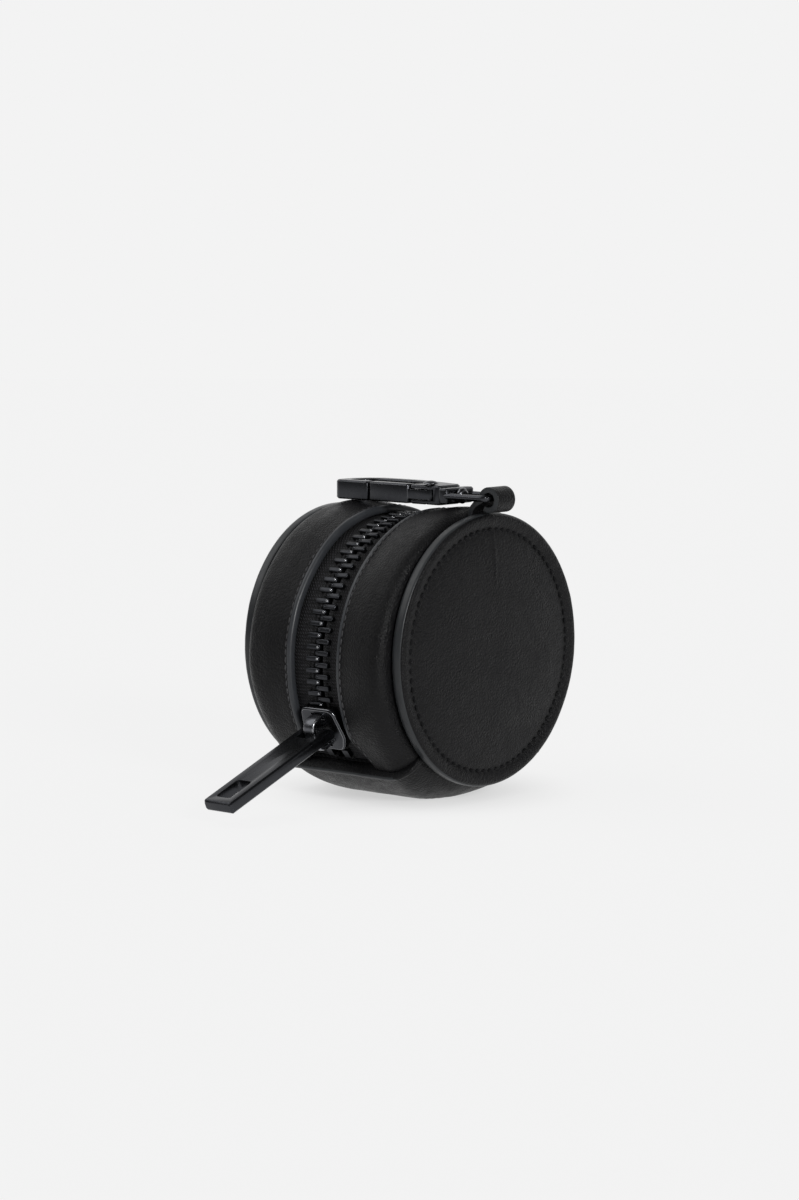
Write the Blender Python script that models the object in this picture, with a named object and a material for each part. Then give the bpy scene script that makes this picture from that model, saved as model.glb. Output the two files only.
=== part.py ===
"""Drum-shaped leather coin purse, zipped round its middle, with a swivel snap hook on a leather loop.

The drum lies on its base gusset. X runs along the drum from the left end panel to the right one,
-Y is the front with the zip slider, and the ground is at Z = 0 under the middle of the drum.
Angles round the drum are in degrees, 0 at the front, 90 at the top and 180 at the back.
"""
import math

import bmesh
import bpy
from mathutils import Matrix, Vector
from mathutils.geometry import interpolate_bezier

# Drum
RIM_RADIUS = 0.0349
DRUM_WIDTH = 0.0544
CROWN_RISE = 0.0031
CROWN_SAG = 0.0027
CROWN_PILLOW = 0.0008
BASE_TUCK = 0.0008
BASE_PRESS = 0.0010
BASE_BARREL = 0.0083
PANEL_DOME = 0.0008
BORDER_WIDTH = 0.0040
BORDER_DIP = 0.0005
SEAM_DEPTH = 0.0036
GROOVE_WIDTH = 0.0005
SHOULDER_WIDTH = 0.0068
SHOULDER_FULLNESS = 0.45
RELAX_START_ANGLE = 85.0
RELAX_END_ANGLE = 140.0
CROSS_SEAM_ANGLE = -43.5
CROSS_SEAM_HEIGHT = 0.0022
RING_STEP = 9.0

# Layers
PANEL_LEATHER = 0.0017
GUSSET_LEATHER = 0.0016
FOLDED_EDGE = 0.0023
FOLD_WIDTH = 0.0060
EDGE_ROUNDING = 0.0006
PAD_THICKNESS = 0.0010
BOARD_THICKNESS = 0.0010
LINING_THICKNESS = 0.0008
LAYER_GAP = 0.0003
METAL_CHAMFER = 0.0004

# Zip
ZIP_WINDOW = 0.0152
CHAIN_WIDTH = 0.0074
ROW_OVERLAP = 0.0020
TOOTH_PITCH = 0.0029
TOOTH_HEIGHT = 0.0030
TOOTH_TIP_HEIGHT = 0.0022
BEAD_WIDTH = 0.0014
BEAD_HEIGHT = 0.0018
TAPE_THICKNESS = 0.0006
TAPE_UNDERLAP = 0.0060
LINING_SETBACK = 0.0013
CHAIN_END_ANGLE = 204.0
STOP_LENGTH = 0.0024
STOP_WALL = 0.0005

# Slider
SLIDER_ANGLE = -25.5
SLIDER_LENGTH = 0.0120
SLIDER_NARROW = 0.0106
SLIDER_WIDE = 0.0138
SLIDER_PLATE = 0.0012
SLIDER_ROUNDING = 0.0020
SLIDER_CLEARANCE = 0.00035
WEDGE_LENGTH = 0.0044
WEDGE_WIDTH = 0.0032
BRIDGE_LENGTH = 0.0092
BRIDGE_WIDTH = 0.0034
BRIDGE_BAR = 0.0012
BRIDGE_ROUNDING = 0.0024
BRIDGE_SEAT = 0.0007

# Pull tab
PULL_LENGTH = 0.0386
PULL_WIDTH = 0.0093
PULL_THICKNESS = 0.0030
PULL_LEAN = 4.0
PULL_EYE_ROUND = 0.0022
PULL_CLEARANCE = 0.0005
PULL_SLOT_LENGTH = 0.0086
PULL_SLOT_WIDTH = 0.0050
PULL_SLOT_INSET = 0.0024
PULL_SLOT_ROUNDING = 0.0010
PULL_TIP_BEVEL = 0.0005

# Leather loop
LOOP_OUTER_RADIUS = 0.0033
LOOP_WALL = 0.0015
LOOP_STRIP = 0.0068
LOOP_OVERHANG = 0.0014
LOOP_TAIL_DEPTH = 0.0026
LOOP_LEG_ANGLE = 195.0
LOOP_END_ANGLE = -132.0
LOOP_RECESS_ANGLE = 14.0
LOOP_RECESS_RUNOUT = 32.0

# Clip eye
EYE_BAR = 0.0017
EYE_LIFT = 0.0004
EYE_SIDE_GAP = 0.00055
EYE_BASE_LENGTH = 0.0030
EYE_BASE_HEIGHT = 0.0040
EYE_REACH = 0.0120
EYE_ROUNDING = 0.0020
EYE_BASE_ROUNDING = 0.0010
SWIVEL_PIN = 0.0024
SWIVEL_HEAD = 0.0042
SWIVEL_HEAD_LENGTH = 0.0012
SWIVEL_SEAT = 0.0012
PIN_CLEARANCE = 0.0003

# Hook
HOOK_LENGTH = 0.0364
HOOK_THICKNESS = 0.0050
HOOK_GATE_SIDE = 0.0044
HOOK_SPINE_SIDE = 0.0092
HOOK_STEM_HALF = 0.0044
HOOK_SECTION = 0.0030
HOOK_NOSE_LENGTH = 0.0116
HOOK_STEM_LENGTH = 0.0104
HOOK_NECK_LENGTH = 0.0173
HOOK_FORK_DEPTH = 0.0056
HOOK_FRONT_SLANT = 0.0019
HOOK_CORNER = 0.0008
GATE_PIVOT_INSET = 0.0042
GATE_TAIL = 0.0024
GATE_GAP = 0.0006
GATE_RIVET = 0.0022
GATE_RIVET_HEAD = 0.0040
GATE_RIVET_DOME = 0.0008
SPRING_STRIP = 0.0004
SPRING_HEIGHT = 0.0022

# Heights and radii that follow from the sizes above
CROWN_RADIUS = RIM_RADIUS + CROWN_RISE
BASE_RADIUS = CROWN_RADIUS - BASE_TUCK
CROWN_Z = BASE_RADIUS - BASE_PRESS
PANEL_Z = CROWN_Z + CROWN_SAG
HALF_WIDTH = DRUM_WIDTH / 2
ROOT_RADIUS = RIM_RADIUS - SEAM_DEPTH
PANEL_INNER_X = HALF_WIDTH - PANEL_LEATHER
FLANGE_FACE_X = PANEL_INNER_X - LAYER_GAP
FLANGE_BACK_X = FLANGE_FACE_X - GUSSET_LEATHER
LOOP_RECESS = LOOP_WALL + 2 * LAYER_GAP - GROOVE_WIDTH
SHOULDER_START_X = FLANGE_BACK_X - GROOVE_WIDTH
SHOULDER_END_X = SHOULDER_START_X - SHOULDER_WIDTH
INNER_RADIUS = ROOT_RADIUS - GUSSET_LEATHER
BOARD_RADIUS = INNER_RADIUS - LAYER_GAP
HALF_WINDOW = ZIP_WINDOW / 2
CHAIN_RADIUS = CROWN_RADIUS - FOLDED_EDGE - LAYER_GAP - TAPE_THICKNESS / 2
GUSSET_LINING_RADIUS = CHAIN_RADIUS - TAPE_THICKNESS / 2 - LAYER_GAP
HALF_SEAM_GAP = math.degrees(LAYER_GAP / CROWN_RADIUS) / 2
SEAM_LAYER_ANGLE = math.degrees(GUSSET_LEATHER / CROWN_RADIUS)
ZIP_START_ANGLE = CROSS_SEAM_ANGLE + HALF_SEAM_GAP
ZIP_END_ANGLE = 180.0 - ZIP_START_ANGLE
BASE_START_ANGLE = 180.0 - CROSS_SEAM_ANGLE + HALF_SEAM_GAP
BASE_END_ANGLE = 360.0 + CROSS_SEAM_ANGLE - HALF_SEAM_GAP
SLIDER_SAGITTA = SLIDER_LENGTH ** 2 / (8 * CHAIN_RADIUS)
SLIDER_CHANNEL = TOOTH_HEIGHT + SLIDER_SAGITTA + 2 * SLIDER_CLEARANCE
SLIDER_MID_RADIUS = CHAIN_RADIUS - SLIDER_SAGITTA / 2
SLIDER_TOP_RADIUS = SLIDER_MID_RADIUS + SLIDER_CHANNEL / 2 + SLIDER_PLATE
PULL_PIVOT_HEIGHT = PULL_THICKNESS / 2 + PULL_CLEARANCE
PULL_EYE_END = BRIDGE_LENGTH / 2 + PULL_CLEARANCE
PULL_EYE_HALF = BRIDGE_WIDTH / 2 + PULL_CLEARANCE
BRIDGE_RISE = PULL_PIVOT_HEIGHT + PULL_EYE_ROUND / 2 + PULL_CLEARANCE
LOOP_X = HALF_WIDTH + LOOP_OVERHANG
LOOP_Z = PANEL_Z + RIM_RADIUS + LAYER_GAP + LOOP_OUTER_RADIUS
CLIP_Z = LOOP_Z + EYE_LIFT
EYE_SIDE_Y = LOOP_STRIP / 2 + EYE_SIDE_GAP + EYE_BAR / 2
EYE_BASE_X = LOOP_X - EYE_REACH
HOOK_END_X = EYE_BASE_X - EYE_BASE_LENGTH - LAYER_GAP
GATE_PIVOT_X = HOOK_END_X - GATE_PIVOT_INSET
GATE_PIVOT_Y = HOOK_SECTION / 2 - HOOK_GATE_SIDE
FORK_WALL_Y = HOOK_FORK_DEPTH - HOOK_GATE_SIDE
MOUTH_HINGE_X = -FLANGE_FACE_X


def finish_colour(name, rgb, roughness, metallic):
    """A plain material with one Principled shader."""
    material = bpy.data.materials.new(name)
    material.use_nodes = True
    shader = material.node_tree.nodes["Principled BSDF"]
    shader.inputs["Base Color"].default_value = (*rgb, 1.0)
    shader.inputs["Roughness"].default_value = roughness
    shader.inputs["Metallic"].default_value = metallic
    return material


def joint_empty(name, location, parent=None, turn=0.0):
    """An empty on a joint's axis, turned about X, that carries the pieces which move with it."""
    empty = bpy.data.objects.new(name, None)
    bpy.context.collection.objects.link(empty)
    empty.location = location
    empty.rotation_euler = (turn, 0.0, 0.0)
    empty.parent = parent
    return empty


def add_piece(name, bm, material, parent=None):
    """Turn a closed bmesh into a named object, carried by its joint's empty where it has one."""
    bmesh.ops.recalc_face_normals(bm, faces=bm.faces)
    mesh = bpy.data.meshes.new(name)
    bm.to_mesh(mesh)
    bm.free()
    mesh.shade_smooth()
    mesh.set_sharp_from_angle(angle=math.radians(35))
    piece = bpy.data.objects.new(name, mesh)
    piece.data.materials.append(material)
    piece.parent = parent
    bpy.context.collection.objects.link(piece)
    return piece


def cut(piece, bm, name, operation="DIFFERENCE"):
    """Cut a piece with, or join to it, a hidden solid that moves with the piece."""
    tool = add_piece(name, bm, piece.data.materials[0], piece.parent)
    tool.hide_render = True
    tool.display_type = "WIRE"
    boolean = piece.modifiers.new(name, "BOOLEAN")
    boolean.operation = operation
    boolean.object = tool


def loft(loops):
    """A closed solid through a row of loops that all have the same number of points."""
    bm = bmesh.new()
    rows = [[bm.verts.new(point) for point in loop] for loop in loops]
    for low, high in zip(rows, rows[1:]):
        for index in range(len(low)):
            after = (index + 1) % len(low)
            bm.faces.new((low[index], low[after], high[after], high[index]))
    bm.faces.new(rows[0])
    bm.faces.new(reversed(rows[-1]))
    return bm


def prism(outline, low, high, chamfer=0.0):
    """A flat outline of (x, y) points raised from one height to another, its rims chamfered if asked."""
    bm = bmesh.new()
    face = bm.faces.new([bm.verts.new((x, y, low)) for x, y in outline])
    raised = bmesh.ops.extrude_face_region(bm, geom=[face])["geom"]
    lifted = [item for item in raised if isinstance(item, bmesh.types.BMVert)]
    bmesh.ops.translate(bm, vec=(0.0, 0.0, high - low), verts=lifted)
    if chamfer:
        rims = [edge for edge in bm.edges if abs(edge.verts[0].co.z - edge.verts[1].co.z) < LAYER_GAP]
        bmesh.ops.bevel(bm, geom=rims, offset=chamfer, segments=1, profile=0.5, affect="EDGES")
    return bm


def box(low, high):
    """A block between two corners."""
    outline = [(low[0], low[1]), (high[0], low[1]), (high[0], high[1]), (low[0], high[1])]
    return prism(outline, low[2], high[2])


def rod(start, end, radius, sides=12):
    """A round rod between two points."""
    axis = Vector(end) - Vector(start)
    bm = bmesh.new()
    bmesh.ops.create_cone(bm, cap_ends=True, segments=sides, radius1=radius, radius2=radius,
                          depth=axis.length)
    turn = Vector((0.0, 0.0, 1.0)).rotation_difference(axis).to_matrix().to_4x4()
    middle = (Vector(start) + Vector(end)) / 2
    bmesh.ops.transform(bm, matrix=Matrix.Translation(middle) @ turn, verts=bm.verts)
    return bm


def rounded(corners, steps=5):
    """An outline through (x, y, radius) corners, each rounded by an arc of its radius."""
    outline = []
    for index, (x, y, radius) in enumerate(corners):
        corner = Vector((x, y))
        if radius == 0.0:
            outline.append((x, y))
            continue
        before = (Vector(corners[index - 1][:2]) - corner).normalized()
        after = (Vector(corners[(index + 1) % len(corners)][:2]) - corner).normalized()
        half = before.angle(after) / 2
        centre = corner + (before + after).normalized() * radius / math.sin(half)
        first = corner + before * radius / math.tan(half) - centre
        last = corner + after * radius / math.tan(half) - centre
        swing = first.angle_signed(last)
        for step in range(steps + 1):
            outline.append(tuple(centre + Matrix.Rotation(-swing * step / steps, 2) @ first))
    return outline


def swept(path, section, across):
    """A bar of one section along a flat path; the section's points are (across, up) pairs."""
    loops = []
    side = Vector(across)
    for index, point in enumerate(path):
        before = Vector(path[max(index - 1, 0)])
        after = Vector(path[min(index + 1, len(path) - 1)])
        up = (after - before).normalized().cross(side)
        loops.append([Vector(point) + side * width + up * rise for width, rise in section])
    return loft(loops)


def strip(width, thickness):
    """Section of a flat bar."""
    return [(-width / 2, -thickness / 2), (width / 2, -thickness / 2),
            (width / 2, thickness / 2), (-width / 2, thickness / 2)]


def circle(radius, sides=12):
    """Points round a circle."""
    turns = [2 * math.pi * step / sides for step in range(sides)]
    return [(radius * math.cos(turn), radius * math.sin(turn)) for turn in turns]


def spindle(profile):
    """A round solid along Z through (radius, height) circles."""
    return loft([[(x, y, height) for x, y in circle(radius)] for radius, height in profile])


def turned(profile):
    """A solid of (x, radius) points turned round the drum's axis, both ends on the axis."""
    bm = bmesh.new()
    points = [bm.verts.new((x, -radius, PANEL_Z)) for x, radius in profile]
    edges = [bm.edges.new(pair) for pair in zip(points, points[1:])]
    bmesh.ops.spin(bm, geom=points + edges, cent=(0.0, 0.0, PANEL_Z), axis=(1.0, 0.0, 0.0),
                   angle=2 * math.pi, steps=round(360.0 / RING_STEP), use_merge=True)
    bmesh.ops.remove_doubles(bm, verts=bm.verts, dist=1e-6)
    return bm


def ring_loop(section, angle):
    """Place a section's (x, radius, sag share, least height) points on a ray from the crown's centre.

    A point's own circle is centred as far below the end panels' centre as its share of the sag.
    """
    across = math.cos(math.radians(angle))
    upward = math.sin(math.radians(angle))
    loop = []
    for x, radius, sag, least in section:
        lift = CROWN_SAG * (1.0 - sag)
        reach = lift * upward + math.sqrt(radius ** 2 - (lift * across) ** 2)
        loop.append((x, -reach * across, max(CROWN_Z + reach * upward, least)))
    return loop


def ring_angles(start, end):
    """Even stations round the drum between two angles."""
    count = max(2, round((end - start) / RING_STEP))
    return [start + (end - start) * step / count for step in range(count + 1)]


def mirrored(section):
    """The same section on the left side of the drum."""
    return [(-x, radius, sag, least) for x, radius, sag, least in section]


def smooth_step(start, end, value):
    """0 up to one value, 1 from another, and an even rise between them."""
    share = min(max((value - start) / (end - start), 0.0), 1.0)
    return share ** 2 * (3.0 - 2.0 * share)


def gusset_form(angle):
    """Crown radius, inner end of the shoulder and fullness of the shoulder at an angle.

    The gusset stands full and pillowed over the top, and relaxes into a rounder belly under the drum.
    """
    from_top = abs((angle + 90.0) % 360.0 - 180.0)
    relaxed = smooth_step(RELAX_START_ANGLE, RELAX_END_ANGLE, from_top)
    belly = smooth_step(90.0 - CROSS_SEAM_ANGLE, 180.0, from_top)
    top_radius = CROWN_RADIUS + CROWN_PILLOW * (1.0 - relaxed) - BASE_TUCK * belly
    fullness = SHOULDER_FULLNESS + (1.0 - SHOULDER_FULLNESS) * relaxed
    return top_radius, SHOULDER_END_X - BASE_BARREL * belly, fullness


def shoulder_curve(start_x, top_radius, least, angle, steps=5):
    """The quarter oval by which a layer of the gusset swells from the seam to its crown."""
    _, end_x, fullness = gusset_form(angle)
    points = []
    for step in range(steps + 1):
        turn = math.pi / 2 * step / steps
        rise = math.sin(turn) ** fullness
        x = end_x + (start_x - end_x) * max(math.cos(turn), 0.0) ** fullness
        points.append((x, ROOT_RADIUS + (top_radius - ROOT_RADIUS) * rise, rise, least))
    return points


def gusset_outer_side(angle):
    """From the raw edge at the rim, down into the seam groove and up the shoulder to the crown."""
    side = [
        (FLANGE_FACE_X, RIM_RADIUS, 0.0, 0.0),
        (FLANGE_BACK_X, RIM_RADIUS, 0.0, 0.0),
        (FLANGE_BACK_X, ROOT_RADIUS, 0.0, 0.0),
    ]
    return side + shoulder_curve(SHOULDER_START_X, gusset_form(angle)[0], 0.0, angle)


def gusset_inner_side(angle):
    """From under the crown, down inside the shoulder and along the seam to the end panel."""
    start_x = SHOULDER_START_X - GUSSET_LEATHER
    side = shoulder_curve(start_x, gusset_form(angle)[0] - GUSSET_LEATHER, GUSSET_LEATHER, angle)
    side.reverse()
    side.append((start_x, INNER_RADIUS, 0.0, GUSSET_LEATHER))
    side.append((FLANGE_FACE_X, INNER_RADIUS, 0.0, 0.0))
    return side


def lining_side(top_radius, least, angle):
    """The outside of a gusset lining, from its crown down to its edge beside the end lining."""
    start_x = SHOULDER_START_X - GUSSET_LEATHER - LAYER_GAP
    side = shoulder_curve(start_x, top_radius, least, angle)
    side.reverse()
    side.append((start_x, BOARD_RADIUS, 0.0, least))
    return side


def lining_back(side, least):
    """The inner face of a lining, one lining thickness inside the given outer face."""
    back = []
    for x, radius, sag, _ in reversed(side):
        back.append((x - LINING_THICKNESS * (1.0 - sag), radius - LINING_THICKNESS * sag, sag, least))
    return back


def on_left(section, angle):
    """The left gusset is the same section at every angle, on the other side."""
    return mirrored(section)


def beside_loop(section, angle):
    """Draw the right shoulder back at the top of the drum, to leave room for the leather loop's leg."""
    runout = (LOOP_RECESS_RUNOUT - abs(angle - 90.0)) / (LOOP_RECESS_RUNOUT - LOOP_RECESS_ANGLE)
    recess = LOOP_RECESS * min(max(runout, 0.0), 1.0)
    drawn = []
    for x, radius, sag, least in section:
        if SHOULDER_END_X < x < FLANGE_BACK_X:
            x -= recess * (x - SHOULDER_END_X) / (SHOULDER_START_X - SHOULDER_END_X)
        drawn.append((x, radius, sag, least))
    return drawn


def gusset_loops(section_at, start, end):
    """Loops of a gusset between two angles, with a turned-up cross seam layer at each end."""
    angles = ring_angles(start + SEAM_LAYER_ANGLE, end - SEAM_LAYER_ANGLE)
    raised = [ring_loop(section_at(CROSS_SEAM_HEIGHT, angle), angle)
              for angle in (start, angles[0], angles[-1], end)]
    return raised[:2] + [ring_loop(section_at(0.0, angle), angle) for angle in angles] + raised[2:]


for leftover in list(bpy.data.objects):
    bpy.data.objects.remove(leftover)

LEATHER = finish_colour("matte black faux leather", (0.018, 0.018, 0.020), 0.55, 0.0)
LINING = finish_colour("black twill lining", (0.010, 0.010, 0.011), 0.85, 0.0)
BOARD = finish_colour("grey fibre board", (0.090, 0.085, 0.080), 0.90, 0.0)
FOAM = finish_colour("dark foam", (0.040, 0.040, 0.042), 0.95, 0.0)
TAPE = finish_colour("black woven zip tape", (0.008, 0.008, 0.009), 0.90, 0.0)
METAL = finish_colour("black plated zinc", (0.030, 0.030, 0.033), 0.35, 1.0)
SPRING = finish_colour("spring steel", (0.400, 0.400, 0.400), 0.30, 1.0)

# Joint axes
mouth = joint_empty("mouth_axis", (MOUTH_HINGE_X, 0.0, 0.0))
slider_axis = joint_empty("slider_axis", (0.0, 0.0, CROWN_Z), turn=math.radians(90.0 - SLIDER_ANGLE))
pull_axis = joint_empty("pull_axis", (0.0, 0.0, SLIDER_TOP_RADIUS + PULL_PIVOT_HEIGHT), slider_axis,
                        math.radians(-PULL_LEAN))
clip_axis = joint_empty("clip_axis", (LOOP_X, 0.0, CLIP_Z))
hook_axis = joint_empty("hook_axis", (HOOK_END_X - LOOP_X, 0.0, 0.0), clip_axis)
gate_axis = joint_empty("gate_axis", (GATE_PIVOT_X - HOOK_END_X, GATE_PIVOT_Y, 0.0), hook_axis)


def end_panel(side):
    """Profile of an end panel: a softly domed leather disk with a stitched border and a raw edge."""
    border = RIM_RADIUS - BORDER_WIDTH
    profile = [(HALF_WIDTH + PANEL_DOME, 0.0)]
    for share in (0.4, 0.7, 0.9):
        rise = PANEL_DOME * math.sqrt(1.0 - share ** 2)
        profile.append((HALF_WIDTH + rise, border * share))
    profile += [
        (HALF_WIDTH - BORDER_DIP, border),
        (HALF_WIDTH, border + BORDER_WIDTH * 0.4),
        (HALF_WIDTH, RIM_RADIUS - EDGE_ROUNDING),
        (HALF_WIDTH - EDGE_ROUNDING, RIM_RADIUS),
        (PANEL_INNER_X, RIM_RADIUS),
        (PANEL_INNER_X, 0.0),
    ]
    return [(side * x, radius) for x, radius in profile]


def disk(side, outer_x, thickness):
    """Profile of a plain round layer behind an end panel."""
    return [(side * outer_x, 0.0), (side * outer_x, BOARD_RADIUS),
            (side * (outer_x - thickness), BOARD_RADIUS), (side * (outer_x - thickness), 0.0)]


def to_left(bm):
    """Move a piece of the left half into the space of its hinge empty."""
    bmesh.ops.translate(bm, vec=(-MOUTH_HINGE_X, 0.0, 0.0), verts=bm.verts)
    return bm


def zip_gusset_section(lift, angle):
    """A zip gusset: seam flange, shoulder, crown and the folded edge beside the zip."""
    section = gusset_outer_side(angle)
    edge = [(HALF_WINDOW + EDGE_ROUNDING, CROWN_RADIUS, 1.0, 0.0),
            (HALF_WINDOW, CROWN_RADIUS - EDGE_ROUNDING, 1.0, 0.0)]
    section = [(x, radius + lift * sag, sag, least) for x, radius, sag, least in section + edge]
    section += [
        (HALF_WINDOW, CROWN_RADIUS - FOLDED_EDGE, 1.0, 0.0),
        (HALF_WINDOW + FOLD_WIDTH, CROWN_RADIUS - FOLDED_EDGE, 1.0, 0.0),
        (HALF_WINDOW + FOLD_WIDTH + EDGE_ROUNDING, CROWN_RADIUS - GUSSET_LEATHER, 1.0, 0.0),
    ]
    return section + gusset_inner_side(angle)


def gusset_lining_section(angle):
    """The lining of a zip gusset, from beside the zip to the end lining and back."""
    section = [(HALF_WINDOW + LINING_SETBACK, GUSSET_LINING_RADIUS, 1.0, 0.0)]
    section += lining_side(GUSSET_LINING_RADIUS, 0.0, angle)
    return section + lining_back(section, 0.0)


def base_section(lift, angle):
    """The base gusset: both seam flanges, both shoulders and the plain crown between them."""
    outer = [(x, radius + lift * sag, sag, least) for x, radius, sag, least in gusset_outer_side(angle)]
    inner = gusset_inner_side(angle)
    return outer + mirrored(reversed(outer)) + mirrored(reversed(inner)) + inner


def base_lining_section(angle):
    """The lining of the base gusset, from end to end and back, laid on the leather."""
    least = GUSSET_LEATHER + LAYER_GAP
    outside = lining_side(gusset_form(angle)[0] - least, least, angle)
    inside = lining_back(outside, least + LINING_THICKNESS)
    return mirrored(reversed(outside)) + outside + inside + mirrored(reversed(inside))


def chain_loops(side, offset):
    """One row of teeth, each gripping the bead cord on the edge of its tape."""
    pitch = math.degrees(TOOTH_PITCH / CHAIN_RADIUS)
    tooth = math.degrees((TOOTH_PITCH / 2 - LAYER_GAP) / CHAIN_RADIUS)
    outer_x = CHAIN_WIDTH / 2
    tip_x = -ROW_OVERLAP / 2
    bead_x = outer_x - BEAD_WIDTH
    bead = [(outer_x, BEAD_HEIGHT / 2), (bead_x, BEAD_HEIGHT / 2),
            (bead_x, -BEAD_HEIGHT / 2), (outer_x, -BEAD_HEIGHT / 2)]
    body = [(outer_x, TOOTH_HEIGHT / 2), (tip_x, TOOTH_TIP_HEIGHT / 2),
            (tip_x, -TOOTH_TIP_HEIGHT / 2), (outer_x, -TOOTH_HEIGHT / 2)]
    bead = [(side * x, CHAIN_RADIUS + rise, 1.0, 0.0) for x, rise in bead]
    body = [(side * x, CHAIN_RADIUS + rise, 1.0, 0.0) for x, rise in body]
    start = SLIDER_ANGLE
    loops = [ring_loop(bead, start)]
    for count in range(int((CHAIN_END_ANGLE - start - pitch) / pitch)):
        first = start + pitch * (count + 0.25 + offset)
        loops += [ring_loop(bead, first), ring_loop(body, first)]
        loops += [ring_loop(body, first + tooth), ring_loop(bead, first + tooth)]
    loops.append(ring_loop(bead, CHAIN_END_ANGLE))
    return loops


def tape_section(side):
    """A flat zip tape from beside the bead cord to under the leather."""
    inner_x = CHAIN_WIDTH / 2 + LAYER_GAP
    outer_x = HALF_WINDOW + TAPE_UNDERLAP
    low = CHAIN_RADIUS - TAPE_THICKNESS / 2
    high = CHAIN_RADIUS + TAPE_THICKNESS / 2
    corners = ((inner_x, low), (outer_x, low), (outer_x, high), (inner_x, high))
    return [(side * x, radius, 1.0, 0.0) for x, radius in corners]


def band(section_at, start, end):
    """A plain strip between two angles round the drum."""
    return loft([ring_loop(section_at(angle), angle) for angle in ring_angles(start, end)])


def stop_clip(low_x, high_x, angle):
    """A small metal clip pressed over the end of the zip."""
    half_height = TOOTH_HEIGHT / 2
    half_angle = math.degrees(STOP_LENGTH / CHAIN_RADIUS) / 2
    corners = ((low_x, -half_height), (high_x, -half_height), (high_x, half_height), (low_x, half_height))
    section = [(x, CHAIN_RADIUS + rise, 1.0, 0.0) for x, rise in corners]
    return loft([ring_loop(section, angle + turn) for turn in (-half_angle, 0.0, half_angle)])


# End panels with their padding, board and lining, one set on each half of the purse
for half, side, parent in (("right", 1, None), ("left", -1, mouth)):
    place = to_left if parent else (lambda bm: bm)
    layer_x = PANEL_INNER_X - LAYER_GAP
    add_piece(f"end_panel_{half}", place(turned(end_panel(side))), LEATHER, parent)
    add_piece(f"end_pad_{half}", place(turned(disk(side, layer_x, PAD_THICKNESS))), FOAM, parent)
    layer_x -= PAD_THICKNESS + LAYER_GAP
    add_piece(f"end_board_{half}", place(turned(disk(side, layer_x, BOARD_THICKNESS))), BOARD, parent)
    layer_x -= BOARD_THICKNESS + LAYER_GAP
    add_piece(f"end_lining_{half}", place(turned(disk(side, layer_x, LINING_THICKNESS))), LINING, parent)

# Zip gussets, their linings, the tapes and the two rows of teeth
for half, side, parent in (("right", 1, None), ("left", -1, mouth)):
    place = to_left if parent else (lambda bm: bm)
    fitted = on_left if parent else beside_loop
    leather = loft(gusset_loops(lambda lift, angle: fitted(zip_gusset_section(lift, angle), angle),
                                ZIP_START_ANGLE, ZIP_END_ANGLE))
    add_piece(f"zip_gusset_{half}", place(leather), LEATHER, parent)
    lining = band(lambda angle: fitted(gusset_lining_section(angle), angle), ZIP_START_ANGLE, ZIP_END_ANGLE)
    add_piece(f"gusset_lining_{half}", place(lining), LINING, parent)
    tape = band(lambda angle: tape_section(side), ZIP_START_ANGLE, ZIP_END_ANGLE)
    add_piece(f"zip_tape_{half}", place(tape), TAPE, parent)
    row = loft(chain_loops(side, 0.0 if side > 0 else 0.5))
    add_piece(f"zip_chain_{half}", place(row), METAL, parent)
    low_x = side * (CHAIN_WIDTH / 2 - BEAD_WIDTH - STOP_WALL)
    stop = stop_clip(low_x, side * CHAIN_WIDTH / 2, (ZIP_START_ANGLE + SLIDER_ANGLE) / 2
                     - math.degrees(SLIDER_LENGTH / CHAIN_RADIUS) / 4)
    add_piece(f"top_stop_{half}", place(stop), METAL, parent)

bottom_stop_angle = CHAIN_END_ANGLE + math.degrees((STOP_LENGTH / 2 + LAYER_GAP) / CHAIN_RADIUS)
add_piece("bottom_stop", stop_clip(-CHAIN_WIDTH / 2, CHAIN_WIDTH / 2, bottom_stop_angle), METAL)

# Base gusset and its lining, pressed flat on the ground under the drum
base = loft(gusset_loops(base_section, BASE_START_ANGLE, BASE_END_ANGLE))
add_piece("base_gusset", base, LEATHER)
add_piece("base_lining", band(base_lining_section, BASE_START_ANGLE, BASE_END_ANGLE), LINING)

# Zip slider: two plates joined by the wedge that parts the rows, in the space of the slider's axis,
# where Z points out of the drum and Y towards the closed zip
half_length = SLIDER_LENGTH / 2
slider_low = SLIDER_MID_RADIUS - SLIDER_CHANNEL / 2 - SLIDER_PLATE
slider_outline = rounded([
    (SLIDER_NARROW / 2, half_length, SLIDER_ROUNDING),
    (-SLIDER_NARROW / 2, half_length, SLIDER_ROUNDING),
    (-SLIDER_WIDE / 2, -half_length / 3, SLIDER_ROUNDING),
    (-SLIDER_NARROW / 2, -half_length, SLIDER_ROUNDING),
    (SLIDER_NARROW / 2, -half_length, SLIDER_ROUNDING),
    (SLIDER_WIDE / 2, -half_length / 3, SLIDER_ROUNDING),
], steps=3)
slider_block = prism(slider_outline, slider_low, SLIDER_TOP_RADIUS, METAL_CHAMFER)
slider = add_piece("slider_body", slider_block, METAL, slider_axis)
channel_half = CHAIN_WIDTH / 2 + SLIDER_CLEARANCE
cut(slider, box((-channel_half, -SLIDER_LENGTH, SLIDER_MID_RADIUS - SLIDER_CHANNEL / 2),
                (channel_half, SLIDER_LENGTH, SLIDER_MID_RADIUS + SLIDER_CHANNEL / 2)), "chain_channel")
slot_half = (TAPE_THICKNESS + SLIDER_SAGITTA) / 2 + LAYER_GAP
cut(slider, box((-SLIDER_WIDE, -SLIDER_LENGTH, SLIDER_MID_RADIUS - slot_half),
                (SLIDER_WIDE, SLIDER_LENGTH, SLIDER_MID_RADIUS + slot_half)), "tape_slot")
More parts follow.
